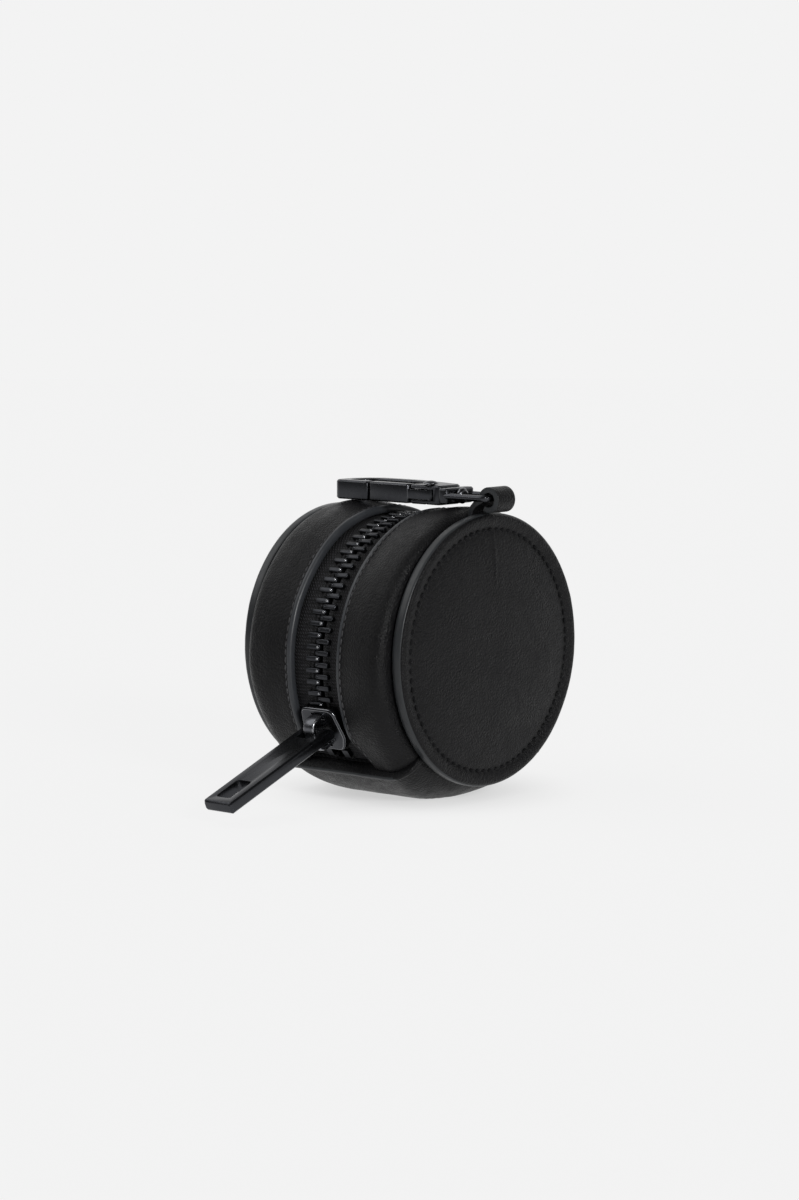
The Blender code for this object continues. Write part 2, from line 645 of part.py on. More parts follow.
wedge = rounded([(0.0, -half_length / 6, 0.0), (-WEDGE_WIDTH / 2, -WEDGE_LENGTH / 2, 0.0),
                 (-WEDGE_WIDTH / 4, -half_length / 6 - WEDGE_LENGTH, 0.0),
                 (WEDGE_WIDTH / 4, -half_length / 6 - WEDGE_LENGTH, 0.0),
                 (WEDGE_WIDTH / 2, -WEDGE_LENGTH / 2, 0.0)])
cut(slider, prism(wedge, slider_low + SLIDER_PLATE / 2, SLIDER_TOP_RADIUS - SLIDER_PLATE / 2), "wedge",
    "UNION")
leg_y = (BRIDGE_LENGTH - BRIDGE_BAR) / 2
for end, name in ((1, "bridge_seat_front"), (-1, "bridge_seat_back")):
    cut(slider, box((-BRIDGE_WIDTH / 2 - LAYER_GAP, end * leg_y - BRIDGE_BAR / 2 - LAYER_GAP,
                     SLIDER_TOP_RADIUS - BRIDGE_SEAT),
                    (BRIDGE_WIDTH / 2 + LAYER_GAP, end * leg_y + BRIDGE_BAR / 2 + LAYER_GAP,
                     SLIDER_TOP_RADIUS + BRIDGE_SEAT)), name)

# Bridge over the slider, with its feet set in the top plate
foot_z = SLIDER_TOP_RADIUS - BRIDGE_SEAT + LAYER_GAP
arch_z = SLIDER_TOP_RADIUS + BRIDGE_RISE + BRIDGE_BAR / 2
arch = rounded([(-leg_y, foot_z, 0.0), (-leg_y, arch_z, BRIDGE_ROUNDING), (leg_y, arch_z, BRIDGE_ROUNDING),
                (leg_y, foot_z, 0.0)], steps=4)
add_piece("slider_bridge", swept([(0.0, y, z) for y, z in arch], strip(BRIDGE_WIDTH, BRIDGE_BAR),
                                 (1.0, 0.0, 0.0)), METAL, slider_axis)


def pull_loop(half_width, half_thickness, z):
    """Section of the pull tab, a flat bar with chamfered edges."""
    chamfer = min(METAL_CHAMFER, half_thickness / 2)
    inner_x, inner_y = half_width - chamfer, half_thickness - chamfer
    return [(half_width, -inner_y, z), (half_width, inner_y, z), (inner_x, half_thickness, z),
            (-inner_x, half_thickness, z), (-half_width, inner_y, z), (-half_width, -inner_y, z),
            (-inner_x, -half_thickness, z), (inner_x, -half_thickness, z)]


# Pull tab: an eye round the bridge at one end and an open slot near the bevelled tip
pull_loops = []
for turn in (75.0, 45.0, 20.0, 0.0):
    drop = math.sin(math.radians(turn)) * PULL_THICKNESS / 2
    half_thickness = math.cos(math.radians(turn)) * PULL_THICKNESS / 2
    pull_loops.append(pull_loop(PULL_WIDTH / 2, half_thickness, -drop))
pull_loops.append(pull_loop(PULL_WIDTH / 2, PULL_THICKNESS / 2, PULL_LENGTH - PULL_TIP_BEVEL))
pull_loops.append(pull_loop(PULL_WIDTH / 2 - METAL_CHAMFER, PULL_THICKNESS / 2 - PULL_TIP_BEVEL,
                            PULL_LENGTH))
pull = add_piece("pull_tab", loft(pull_loops), METAL, pull_axis)
cut(pull, box((-PULL_EYE_HALF, -PULL_THICKNESS, -PULL_THICKNESS),
              (PULL_EYE_HALF, PULL_THICKNESS, PULL_EYE_END)), "pull_eye")
cut(pull, rod((-PULL_WIDTH / 3, 0.0, 0.0), (PULL_WIDTH / 3, 0.0, 0.0), PULL_EYE_ROUND / 2), "pull_crossbar",
    "UNION")
slot_end = PULL_LENGTH - PULL_SLOT_INSET
pull_slot = rounded([(-PULL_SLOT_WIDTH / 2, slot_end, PULL_SLOT_ROUNDING),
                     (-PULL_SLOT_WIDTH / 2, slot_end - PULL_SLOT_LENGTH, PULL_SLOT_ROUNDING),
                     (PULL_SLOT_WIDTH / 2, slot_end - PULL_SLOT_LENGTH, PULL_SLOT_ROUNDING),
                     (PULL_SLOT_WIDTH / 2, slot_end, PULL_SLOT_ROUNDING)], steps=3)
pull_slot = prism(pull_slot, -PULL_THICKNESS, PULL_THICKNESS)
bmesh.ops.rotate(pull_slot, cent=(0.0, 0.0, 0.0), matrix=Matrix.Rotation(math.pi / 2, 3, "X"),
                 verts=pull_slot.verts)
cut(pull, pull_slot, "pull_slot")


def loop_point(turn):
    """A point on the middle line of the leather loop's ring."""
    radius = LOOP_OUTER_RADIUS - LOOP_WALL / 2
    return Vector((LOOP_X + radius * math.cos(turn), 0.0, LOOP_Z + radius * math.sin(turn)))


# Leather loop: a strip that rises out of the right seam groove and rolls into a ring over the rim
rim_top = PANEL_Z + RIM_RADIUS
tail_x = FLANGE_BACK_X - LAYER_GAP - LOOP_WALL / 2
first_turn, last_turn = math.radians(LOOP_LEG_ANGLE), math.radians(LOOP_END_ANGLE)
tail_top = Vector((tail_x, 0.0, rim_top - LAYER_GAP))
ring_first = loop_point(first_turn)
ring_along = Vector((math.sin(first_turn), 0.0, -math.cos(first_turn))) * LOOP_WALL
loop_path = [Vector((tail_x, 0.0, rim_top - LOOP_TAIL_DEPTH))]
loop_path += interpolate_bezier(tail_top, tail_top + Vector((0.0, 0.0, LOOP_WALL)), ring_first - ring_along,
                                ring_first, 6)
ring_steps = 20
for step in range(1, ring_steps + 1):
    loop_path.append(loop_point(first_turn + (last_turn - first_turn) * step / ring_steps))
add_piece("loop_tab", swept(loop_path, strip(LOOP_STRIP, LOOP_WALL), (0.0, 1.0, 0.0)), LEATHER)

# Clip eye: a stirrup through the leather loop, closed by the block that carries the swivel
eye_root_x = -EYE_REACH - EYE_BASE_LENGTH / 2
eye_path = rounded([(eye_root_x, -EYE_SIDE_Y, 0.0), (0.0, -EYE_SIDE_Y, EYE_ROUNDING),
                    (0.0, EYE_SIDE_Y, EYE_ROUNDING), (eye_root_x, EYE_SIDE_Y, 0.0)])
eye = add_piece("clip_eye", swept([(x, y, 0.0) for x, y in eye_path], circle(EYE_BAR / 2, 10),
                                  (0.0, 0.0, 1.0)), METAL, clip_axis)
base_low_x, base_half_y = -EYE_REACH - EYE_BASE_LENGTH, EYE_SIDE_Y + EYE_BAR / 2
eye_base = rounded([(base_low_x, -base_half_y, EYE_BASE_ROUNDING),
                    (-EYE_REACH, -base_half_y, EYE_BASE_ROUNDING),
                    (-EYE_REACH, base_half_y, EYE_BASE_ROUNDING),
                    (base_low_x, base_half_y, EYE_BASE_ROUNDING)], steps=2)
cut(eye, prism(eye_base, -EYE_BASE_HEIGHT / 2, EYE_BASE_HEIGHT / 2, METAL_CHAMFER), "eye_base", "UNION")
cut(eye, rod((base_low_x - EYE_BASE_LENGTH, 0.0, 0.0), (-EYE_REACH + EYE_BASE_LENGTH, 0.0, 0.0),
             SWIVEL_PIN / 2 + PIN_CLEARANCE), "swivel_bore")

# Swivel post: seated in the hook, through the eye's block, with a head on the far side
head_start = LAYER_GAP + EYE_BASE_LENGTH + LAYER_GAP
post = spindle([(SWIVEL_PIN / 2, -SWIVEL_SEAT), (SWIVEL_PIN / 2, head_start), (SWIVEL_HEAD / 2, head_start),
                (SWIVEL_HEAD / 2, head_start + SWIVEL_HEAD_LENGTH / 2),
                (SWIVEL_HEAD / 3, head_start + SWIVEL_HEAD_LENGTH)])
bmesh.ops.rotate(post, cent=(0.0, 0.0, 0.0), matrix=Matrix.Rotation(math.pi / 2, 3, "Y"), verts=post.verts)
add_piece("swivel_post", post, METAL, hook_axis)

# Hook: nose, bow and spine round an open throat, with a forked stem for the gate
hook_tip, nose_end = -HOOK_LENGTH, -HOOK_LENGTH + HOOK_NOSE_LENGTH
nose_in_y, spine_in_y = HOOK_SECTION - HOOK_GATE_SIDE, HOOK_SPINE_SIDE - HOOK_SECTION
bow_radius = (HOOK_SPINE_SIDE + HOOK_GATE_SIDE) * 2 / 3
hook_outline = rounded([
    (0.0, -HOOK_GATE_SIDE, HOOK_SECTION / 3),
    (0.0, HOOK_STEM_HALF, HOOK_SECTION * 2 / 3),
    (-HOOK_NECK_LENGTH, HOOK_SPINE_SIDE, bow_radius),
    (hook_tip, HOOK_SPINE_SIDE, bow_radius),
    (hook_tip, -HOOK_GATE_SIDE, HOOK_SECTION * 2 / 3),
    (nose_end, -HOOK_GATE_SIDE, HOOK_CORNER),
    (nose_end, nose_in_y, HOOK_CORNER),
    (hook_tip + HOOK_SECTION, nose_in_y, HOOK_SECTION / 2),
    (hook_tip + HOOK_SECTION, spine_in_y, bow_radius - HOOK_SECTION),
    (-HOOK_NECK_LENGTH, spine_in_y, HOOK_SECTION),
    (-HOOK_STEM_LENGTH, HOOK_STEM_HALF, HOOK_SECTION * 2 / 3),
    (HOOK_FRONT_SLANT - HOOK_STEM_LENGTH, FORK_WALL_Y, HOOK_SECTION / 3),
    (-HOOK_STEM_LENGTH, -HOOK_GATE_SIDE, HOOK_CORNER),
], steps=4)
hook_plate = prism(hook_outline, -HOOK_THICKNESS / 2, HOOK_THICKNESS / 2, METAL_CHAMFER)
hook = add_piece("hook_body", hook_plate, METAL, hook_axis)
fork_half = GATE_TAIL / 2 + LAYER_GAP
fork_end = -GATE_PIVOT_INSET + HOOK_SECTION / 2 + GATE_GAP
cut(hook, box((-HOOK_STEM_LENGTH - GATE_GAP, -HOOK_GATE_SIDE - GATE_GAP, -fork_half),
              (fork_end, FORK_WALL_Y, fork_half)), "gate_fork")
rivet_hole = GATE_RIVET / 2 + PIN_CLEARANCE
cut(hook, rod((-GATE_PIVOT_INSET, GATE_PIVOT_Y, -HOOK_THICKNESS),
              (-GATE_PIVOT_INSET, GATE_PIVOT_Y, HOOK_THICKNESS), rivet_hole), "rivet_hole")
cut(hook, rod((-SWIVEL_SEAT - PIN_CLEARANCE, 0.0, 0.0), (SWIVEL_SEAT, 0.0, 0.0),
              SWIVEL_PIN / 2 + PIN_CLEARANCE), "post_seat")

# Gate: a full bar that closes the throat, thinned to a tail between the cheeks of the fork
gate_half = HOOK_SECTION / 2
gate_tip = nose_end + GATE_GAP + GATE_PIVOT_INSET
gate_shoulder = GATE_PIVOT_INSET - HOOK_STEM_LENGTH - GATE_GAP
shoulder_slant = HOOK_FRONT_SLANT * HOOK_SECTION / HOOK_FORK_DEPTH
gate_outline = rounded([(gate_tip, -gate_half, HOOK_CORNER), (gate_tip, gate_half, HOOK_CORNER),
                        (gate_shoulder + shoulder_slant, gate_half, HOOK_CORNER),
                        (gate_shoulder, -gate_half, HOOK_CORNER)], steps=2)
gate_bar = prism(gate_outline, -HOOK_THICKNESS / 2, HOOK_THICKNESS / 2, METAL_CHAMFER)
gate = add_piece("hook_gate", gate_bar, METAL, gate_axis)
tail_outline = [(gate_half * math.sin(turn), gate_half * math.cos(turn))
                for turn in (math.pi * step / 8 for step in range(9))]
tail_outline += [(gate_shoulder - gate_half, -gate_half + METAL_CHAMFER),
                 (gate_shoulder - gate_half, gate_half - METAL_CHAMFER)]
cut(gate, prism(tail_outline, -GATE_TAIL / 2, GATE_TAIL / 2), "gate_tail", "UNION")
cut(gate, rod((0.0, 0.0, -HOOK_THICKNESS), (0.0, 0.0, HOOK_THICKNESS), rivet_hole), "gate_hole")

# Gate rivet, flush below and domed above, and the leaf spring behind the gate's tail
dome_start = HOOK_THICKNESS / 2 + LAYER_GAP
rivet = spindle([(GATE_RIVET / 2, -HOOK_THICKNESS / 2), (GATE_RIVET / 2, dome_start),
                 (GATE_RIVET_HEAD / 2, dome_start), (GATE_RIVET_HEAD / 2, dome_start + GATE_RIVET_DOME / 4),
                 (GATE_RIVET_HEAD / 3, dome_start + GATE_RIVET_DOME * 3 / 4),
                 (GATE_RIVET_HEAD / 8, dome_start + GATE_RIVET_DOME)])
bmesh.ops.translate(rivet, vec=(-GATE_PIVOT_INSET, GATE_PIVOT_Y, 0.0), verts=rivet.verts)
add_piece("gate_rivet", rivet, METAL, hook_axis)
leaf_y = FORK_WALL_Y - LAYER_GAP - SPRING_STRIP / 2
leaf = rounded([(fork_end - GATE_GAP, leaf_y, 0.0), (fork_end - HOOK_SECTION, leaf_y, HOOK_SECTION / 2),
                (HOOK_FRONT_SLANT - HOOK_STEM_LENGTH, nose_in_y + LAYER_GAP + SPRING_STRIP, 0.0)])
add_piece("gate_spring", swept([(x, y, 0.0) for x, y in leaf], strip(SPRING_HEIGHT, SPRING_STRIP),
                               (0.0, 0.0, 1.0)), SPRING, hook_axis)
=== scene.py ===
import math

import bmesh
import bpy
from mathutils import Matrix, Vector, noise


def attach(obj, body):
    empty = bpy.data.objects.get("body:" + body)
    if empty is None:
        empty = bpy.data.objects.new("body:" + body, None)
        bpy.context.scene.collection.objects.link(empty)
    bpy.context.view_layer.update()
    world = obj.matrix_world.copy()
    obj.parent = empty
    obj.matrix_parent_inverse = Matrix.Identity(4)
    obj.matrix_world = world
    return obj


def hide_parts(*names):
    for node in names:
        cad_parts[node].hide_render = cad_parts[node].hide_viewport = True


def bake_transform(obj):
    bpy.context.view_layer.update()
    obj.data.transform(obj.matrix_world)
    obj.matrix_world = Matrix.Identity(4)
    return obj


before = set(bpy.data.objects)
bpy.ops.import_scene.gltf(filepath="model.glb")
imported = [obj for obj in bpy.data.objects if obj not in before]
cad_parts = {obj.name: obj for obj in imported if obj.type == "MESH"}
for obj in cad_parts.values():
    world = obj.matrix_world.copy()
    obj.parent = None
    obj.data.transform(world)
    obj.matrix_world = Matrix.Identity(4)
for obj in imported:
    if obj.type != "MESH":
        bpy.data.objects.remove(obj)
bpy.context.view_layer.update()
scene = bpy.context.scene
scene.view_settings.view_transform = "Standard"


# Studio: a seamless sweep of pale paper under broad soft light. A long lens looks at the purse from the
# right of its zip and from just above the table.
BACKDROP = "#F3F3F3"
AIM = Vector((0.0, 0.0, 0.0402))
LENS_TURN = math.radians(41.0)
LENS_RISE = math.radians(6.9)
LENS_DISTANCE = 0.865
LENS_LENGTH = 100.0
LENS_SHIFT_X = -11.9 / 1200
LENS_SHIFT_Y = 36.8 / 1200
SURROUND_LIGHT = 0.46
ROOM_LIGHT = 0.12
BACKDROP_TILT = 0.2
BACKDROP_FADE_FROM = 0.2
BACKDROP_FADE_TO = 0.9
PAPER = "#F6F6F6"
FLOOR_RADIUS = 2.5
FLOOR_SHADE_NEAR = 0.012
FLOOR_SHADE_FAR = 0.048
FLOOR_GLOW_NEAR = 0.62
FLOOR_GLOW_FAR = 0.95
FLOOR_BOUNCE = 0.4


def linear(code):
    """A hex sRGB colour as linear RGBA."""
    channels = [int(code[place:place + 2], 16) / 255 for place in (1, 3, 5)]
    return (*[c / 12.92 if c <= 0.04045 else ((c + 0.055) / 1.055) ** 2.4 for c in channels], 1.0)


def add_node(tree, kind, inputs=None, **properties):
    """Add a node, set its properties, and set each of its inputs or link it to another node's output."""
    node = tree.nodes.new(kind)
    for name, value in properties.items():
        setattr(node, name, value)
    for name, value in (inputs or {}).items():
        if isinstance(value, bpy.types.NodeSocket):
            tree.links.new(value, node.inputs[name])
        else:
            node.inputs[name].default_value = value
    return node


sight = Vector((math.sin(LENS_TURN) * math.cos(LENS_RISE), -math.cos(LENS_TURN) * math.cos(LENS_RISE),
                math.sin(LENS_RISE)))
lens = bpy.data.cameras.new("long lens")
lens.lens = LENS_LENGTH
lens.shift_x = LENS_SHIFT_X
lens.shift_y = LENS_SHIFT_Y
camera = bpy.data.objects.new("camera", lens)
camera.location = AIM + sight * LENS_DISTANCE
camera.rotation_euler = sight.to_track_quat("Z", "Y").to_euler()
scene.collection.objects.link(camera)
scene.camera = camera

scene.world = bpy.data.worlds.new("pale surround")
scene.world.use_nodes = True
tree = scene.world.node_tree
tree.nodes.clear()
way = add_node(tree, "ShaderNodeTexCoord").outputs["Generated"]
ray = add_node(tree, "ShaderNodeLightPath").outputs
behind = add_node(tree, "ShaderNodeVectorMath", {0: way, 1: (-sight.x, -sight.y, BACKDROP_TILT)},
                  operation="DOT_PRODUCT")
mirrored = add_node(tree, "ShaderNodeMapRange", {"Value": behind.outputs["Value"], "From Min": BACKDROP_FADE_FROM,
                                                 "From Max": BACKDROP_FADE_TO, "To Min": ROOM_LIGHT},
                    interpolation_type="SMOOTHSTEP")
lighting = add_node(tree, "ShaderNodeBackground", {"Color": (1.0, 1.0, 1.0, 1.0), "Strength": SURROUND_LIGHT})
reflected = add_node(tree, "ShaderNodeBackground", {"Color": linear(BACKDROP),
                                                    "Strength": mirrored.outputs["Result"]})
backdrop = add_node(tree, "ShaderNodeBackground", {"Color": linear(BACKDROP)})
gloss = add_node(tree, "ShaderNodeMixShader", {0: ray["Is Glossy Ray"], 1: lighting.outputs[0],
                                               2: reflected.outputs[0]})
seen = add_node(tree, "ShaderNodeMath", {0: ray["Is Camera Ray"], 1: ray["Is Transmission Ray"]},
                operation="MAXIMUM")
surround = add_node(tree, "ShaderNodeMixShader", {0: seen.outputs[0], 1: gloss.outputs[0], 2: backdrop.outputs[0]})
add_node(tree, "ShaderNodeOutputWorld", {"Surface": surround.outputs[0]})

# Matt pale paper: it takes the shadow of the purse, and fades into the backdrop about 5 cm from its middle
paper = bpy.data.materials.new("matt pale paper")
paper.use_nodes = True
tree = paper.node_tree
tree.nodes.clear()
place = add_node(tree, "ShaderNodeTexCoord").outputs["Object"]
distance = add_node(tree, "ShaderNodeVectorMath", {0: place}, operation="LENGTH")
fade = add_node(tree, "ShaderNodeMapRange", {"Value": distance.outputs["Value"], "From Min": FLOOR_SHADE_NEAR,
                                             "From Max": FLOOR_SHADE_FAR, "To Min": FLOOR_GLOW_NEAR,
                                             "To Max": FLOOR_GLOW_FAR},
                interpolation_type="SMOOTHSTEP")
lit = add_node(tree, "ShaderNodeBsdfDiffuse", {"Color": linear(PAPER)})
glow = add_node(tree, "ShaderNodeEmission", {"Color": linear(BACKDROP)})
ray = add_node(tree, "ShaderNodeLightPath").outputs
seen = add_node(tree, "ShaderNodeMath", {0: ray["Is Camera Ray"], 1: FLOOR_BOUNCE}, operation="MAXIMUM")
for kind in ("Is Glossy Ray", "Is Transmission Ray"):
    seen = add_node(tree, "ShaderNodeMath", {0: ray[kind], 1: seen.outputs[0]}, operation="MAXIMUM")
share = add_node(tree, "ShaderNodeMath", {0: seen.outputs[0], 1: fade.outputs["Result"]}, operation="MULTIPLY")
blended = add_node(tree, "ShaderNodeMixShader", {0: share.outputs[0], 1: lit.outputs[0], 2: glow.outputs[0]})
add_node(tree, "ShaderNodeOutputMaterial", {"Surface": blended.outputs[0]})
sweep = bmesh.new()
bmesh.ops.create_circle(sweep, cap_ends=True, radius=FLOOR_RADIUS, segments=96)
floor = bpy.data.objects.new("floor", bpy.data.meshes.new("floor"))
sweep.to_mesh(floor.data)
sweep.free()
floor.data.materials.append(paper)
scene.collection.objects.link(floor)

# Two lamps: a broad one high on the left of the zip, and a low strip to the right of the lens that draws glints
for name, strength, spread, turn, rise in (("broad lamp", 0.95, 50.0, -48.0, 48.0),
                                           ("strip lamp", 2.0, 14.0, 70.0, 20.0)):
    lamp = bpy.data.lights.new(name, "SUN")
    lamp.energy = strength
    lamp.angle = math.radians(spread)
    fitting = bpy.data.objects.new(name, lamp)
    turn, rise = math.radians(turn), math.radians(rise)
    beam = Vector((math.sin(turn) * math.cos(rise), -math.cos(turn) * math.cos(rise), math.sin(rise)))
    fitting.rotation_euler = beam.to_track_quat("Z", "Y").to_euler()
    scene.collection.objects.link(fitting)


# End panels: a disk of black faux leather at each end of the drum, pillowed over wadding. It is lock-stitched
# to the gussets all round, and the two raw edges are painted over together as one smooth rim.
PANEL_Z = 0.0389
PANEL_STEPS = 480
PANEL_PROFILE = (
    (28.02, 0.0), (28.01, 3.0), (27.99, 6.0), (27.95, 9.0), (27.90, 12.0), (27.83, 15.0), (27.74, 18.0),
    (27.62, 20.8), (27.47, 23.4), (27.30, 25.4), (27.10, 27.2), (26.92, 28.6), (26.74, 29.6), (26.56, 30.3),
    (26.46, 30.85), (26.54, 31.4), (26.74, 31.9), (26.93, 32.6), (27.00, 33.4), (26.94, 34.05), (26.76, 34.42),
    (26.5, 34.58), (25.5, 34.52), (25.5, 0.0))
PANEL_FACE_X = 0.0262
PANEL_WAVES = ((0.00016, 0.013), (0.00005, 0.004))
RIM_PROFILE = (
    (26.52, 34.5), (26.48, 34.66), (26.35, 34.8), (26.1, 34.9), (25.8, 34.94), (25.4, 34.92), (24.9, 34.94),
    (24.4, 34.9), (24.0, 34.78), (23.73, 34.56), (23.62, 34.22), (23.64, 33.97), (23.8, 34.45), (24.4, 34.55),
    (25.6, 34.55), (26.2, 34.5))
RIM_STEPS = 288
STITCH_RING = 0.03085
STITCH_X = 0.02646
STITCH_COUNT = 80
STITCH_SIZE = (0.0005, 0.0008, 0.0016)
STITCH_DIP = 0.00022
STITCH_DIP_REACH = 0.0007
PUCKER_DEPTH = 0.00009
PUCKER_REACH = 0.0035
PUCKER_RATE = 14.0
CREASE_FROM = 0.0555
CREASE_TO = 0.0695
CREASE_Y = 0.0009
CREASE_HEIGHT = 0.00016
CREASE_REACH = 0.0005


def material_base(name):
    """A material with one Principled shader, with its node tree, the shader and the piece's own coordinates."""
    material = bpy.data.materials.new(name)
    material.use_nodes = True
    tree = material.node_tree
    shader = tree.nodes["Principled BSDF"]
    return material, tree, shader, add_node(tree, "ShaderNodeTexCoord").outputs["Object"]


def spread_of(tree, source, low, high):
    """Stretch a pattern that lies about 0.3 to 0.7 between two values."""
    stretch = add_node(tree, "ShaderNodeMapRange", {"Value": source, "From Min": 0.3, "From Max": 0.7,
                                                    "To Min": low, "To Max": high})
    return stretch.outputs["Result"]


def tinted(tree, factor, dark, pale):
    """Mix two hex colours by a pattern."""
    mix = add_node(tree, "ShaderNodeMix", {0: factor, 6: linear(dark), 7: linear(pale)}, data_type="RGBA")
    return mix.outputs[2]


def per_mm(size):
    """The scale of a pattern whose features are the given number of millimetres across."""
    return 1000.0 / size


def faux_leather():
    """Matte black faux leather: a moulded grain of 0.6 mm pebbles and pores under a dull, uneven top coat."""
    material, tree, shader, place = material_base("matte black faux leather")
    pebbles = add_node(tree, "ShaderNodeTexVoronoi", {"Vector": place, "Scale": per_mm(0.6)})
    pores = add_node(tree, "ShaderNodeTexNoise", {"Vector": place, "Scale": per_mm(0.3), "Detail": 3.0})
    clouds = add_node(tree, "ShaderNodeTexNoise", {"Vector": place, "Scale": per_mm(13.0), "Detail": 3.0})
    handled = add_node(tree, "ShaderNodeTexNoise", {"Vector": place, "Scale": per_mm(2.6), "Detail": 5.0})
    grain = add_node(tree, "ShaderNodeMath", {0: pebbles.outputs["Distance"], 1: -0.9, 2: pores.outputs[0]},
                     operation="MULTIPLY_ADD")
    relief = add_node(tree, "ShaderNodeBump", {"Height": grain.outputs[0], "Strength": 0.8, "Distance": 0.00018})
    sheen = add_node(tree, "ShaderNodeMath", {0: spread_of(tree, clouds.outputs[0], -0.06, 0.06),
                                              1: spread_of(tree, handled.outputs[0], 0.28, 0.44)},
                     operation="ADD")
    tree.links.new(tinted(tree, clouds.outputs[0], "#0B0B0C", "#111112"), shader.inputs["Base Color"])
    tree.links.new(sheen.outputs[0], shader.inputs["Roughness"])
    tree.links.new(relief.outputs[0], shader.inputs["Normal"])
    shader.inputs["IOR"].default_value = 1.45
    shader.inputs["Specular IOR Level"].default_value = 0.16
    return material


def smooth_edge(name, dark, pale):
    """A painted or folded leather edge: smoother and a little greyer than the face, with faint waves."""
    material, tree, shader, place = material_base(name)
    waves = add_node(tree, "ShaderNodeTexNoise", {"Vector": place, "Scale": per_mm(2.2), "Detail": 2.0})
    rubbed = add_node(tree, "ShaderNodeTexNoise", {"Vector": place, "Scale": per_mm(7.0), "Detail": 3.0})
    relief = add_node(tree, "ShaderNodeBump", {"Height": waves.outputs[0], "Strength": 0.25,
                                               "Distance": 0.00012})
    tree.links.new(tinted(tree, rubbed.outputs[0], dark, pale), shader.inputs["Base Color"])
    tree.links.new(spread_of(tree, waves.outputs[0], 0.3, 0.42), shader.inputs["Roughness"])
    tree.links.new(relief.outputs[0], shader.inputs["Normal"])
    shader.inputs["IOR"].default_value = 1.47
    shader.inputs["Specular IOR Level"].default_value = 0.35
    return material


def sewing_thread(name, dark, pale, gloss):
    """Black polyester thread: a twist with 0.3 mm strands, darkened as painted shade where it sinks in and paled as
    a painted highlight where it is taut.
    """
    material, tree, shader, place = material_base(name)
    strands = add_node(tree, "ShaderNodeTexNoise", {"Vector": place, "Scale": per_mm(0.3), "Detail": 2.0})
    relief = add_node(tree, "ShaderNodeBump", {"Height": strands.outputs[0], "Strength": 0.5,
                                               "Distance": 0.00008})
    tree.links.new(tinted(tree, strands.outputs[0], dark, pale), shader.inputs["Base Color"])
    tree.links.new(spread_of(tree, strands.outputs[0], 0.42, 0.62), shader.inputs["Roughness"])
    tree.links.new(relief.outputs[0], shader.inputs["Normal"])
    shader.inputs["Specular IOR Level"].default_value = gloss
    return material


def show(name, bm, material, body, slot, *nodes, crisp=42.0):
    """Finish a mesh as a piece that moves with a body, takes the given material and stands for CAD nodes; the slot
    is not used.
    """
    bmesh.ops.remove_doubles(bm, verts=bm.verts, dist=1e-6)
    bmesh.ops.recalc_face_normals(bm, faces=bm.faces)
    mesh = bpy.data.meshes.new(name)
    bm.to_mesh(mesh)
    bm.free()
    mesh.shade_smooth()
    mesh.set_sharp_from_angle(angle=math.radians(crisp))
    mesh.materials.append(material)
    piece = bpy.data.objects.new(name, mesh)
    scene.collection.objects.link(piece)
    if body:
        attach(piece, body)
    if nodes:
        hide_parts(*nodes)
    return piece


def turned(profile, side, steps, closed=False):
    """Turn (x, radius) points in millimetres once round the axis of the drum."""
    bm = bmesh.new()
    points = [bm.verts.new((side * x / 1000, 0.0, PANEL_Z + radius / 1000)) for x, radius in profile]
    edges = [bm.edges.new(pair) for pair in zip(points, points[1:])]
    if closed:
        edges.append(bm.edges.new((points[-1], points[0])))
    bmesh.ops.spin(bm, geom=points + edges, cent=(0.0, 0.0, PANEL_Z), axis=(1.0, 0.0, 0.0),
                   angle=2 * math.pi, steps=steps, use_merge=True)
    return bm


def stitch_row(x, radius, axis_z, start, end, count, size):
    """A row of stitches on a circle about the drum: small rounded bars of (x, radial, along) size."""
    bm = bmesh.new()
    lie = Matrix.Translation((x, 0.0, axis_z + radius)) @ Matrix.Rotation(math.pi / 2, 4, "X")
    shape = Matrix.Diagonal((*[extent / 2 for extent in size], 1.0))
    first = bmesh.ops.create_uvsphere(bm, u_segments=8, v_segments=6, radius=1.0, matrix=lie @ shape)
    hub = (0.0, 0.0, axis_z)
    bmesh.ops.rotate(bm, verts=first["verts"], cent=hub,
                     matrix=Matrix.Rotation(math.radians(90.0 - start), 3, "X"))
    sweep = math.radians(end - start) * (count - 1) / count
    bmesh.ops.spin(bm, geom=bm.verts[:] + bm.edges[:] + bm.faces[:], cent=hub, axis=(-1.0, 0.0, 0.0),
                   angle=sweep, steps=count - 1, use_duplicate=True)
    return bm


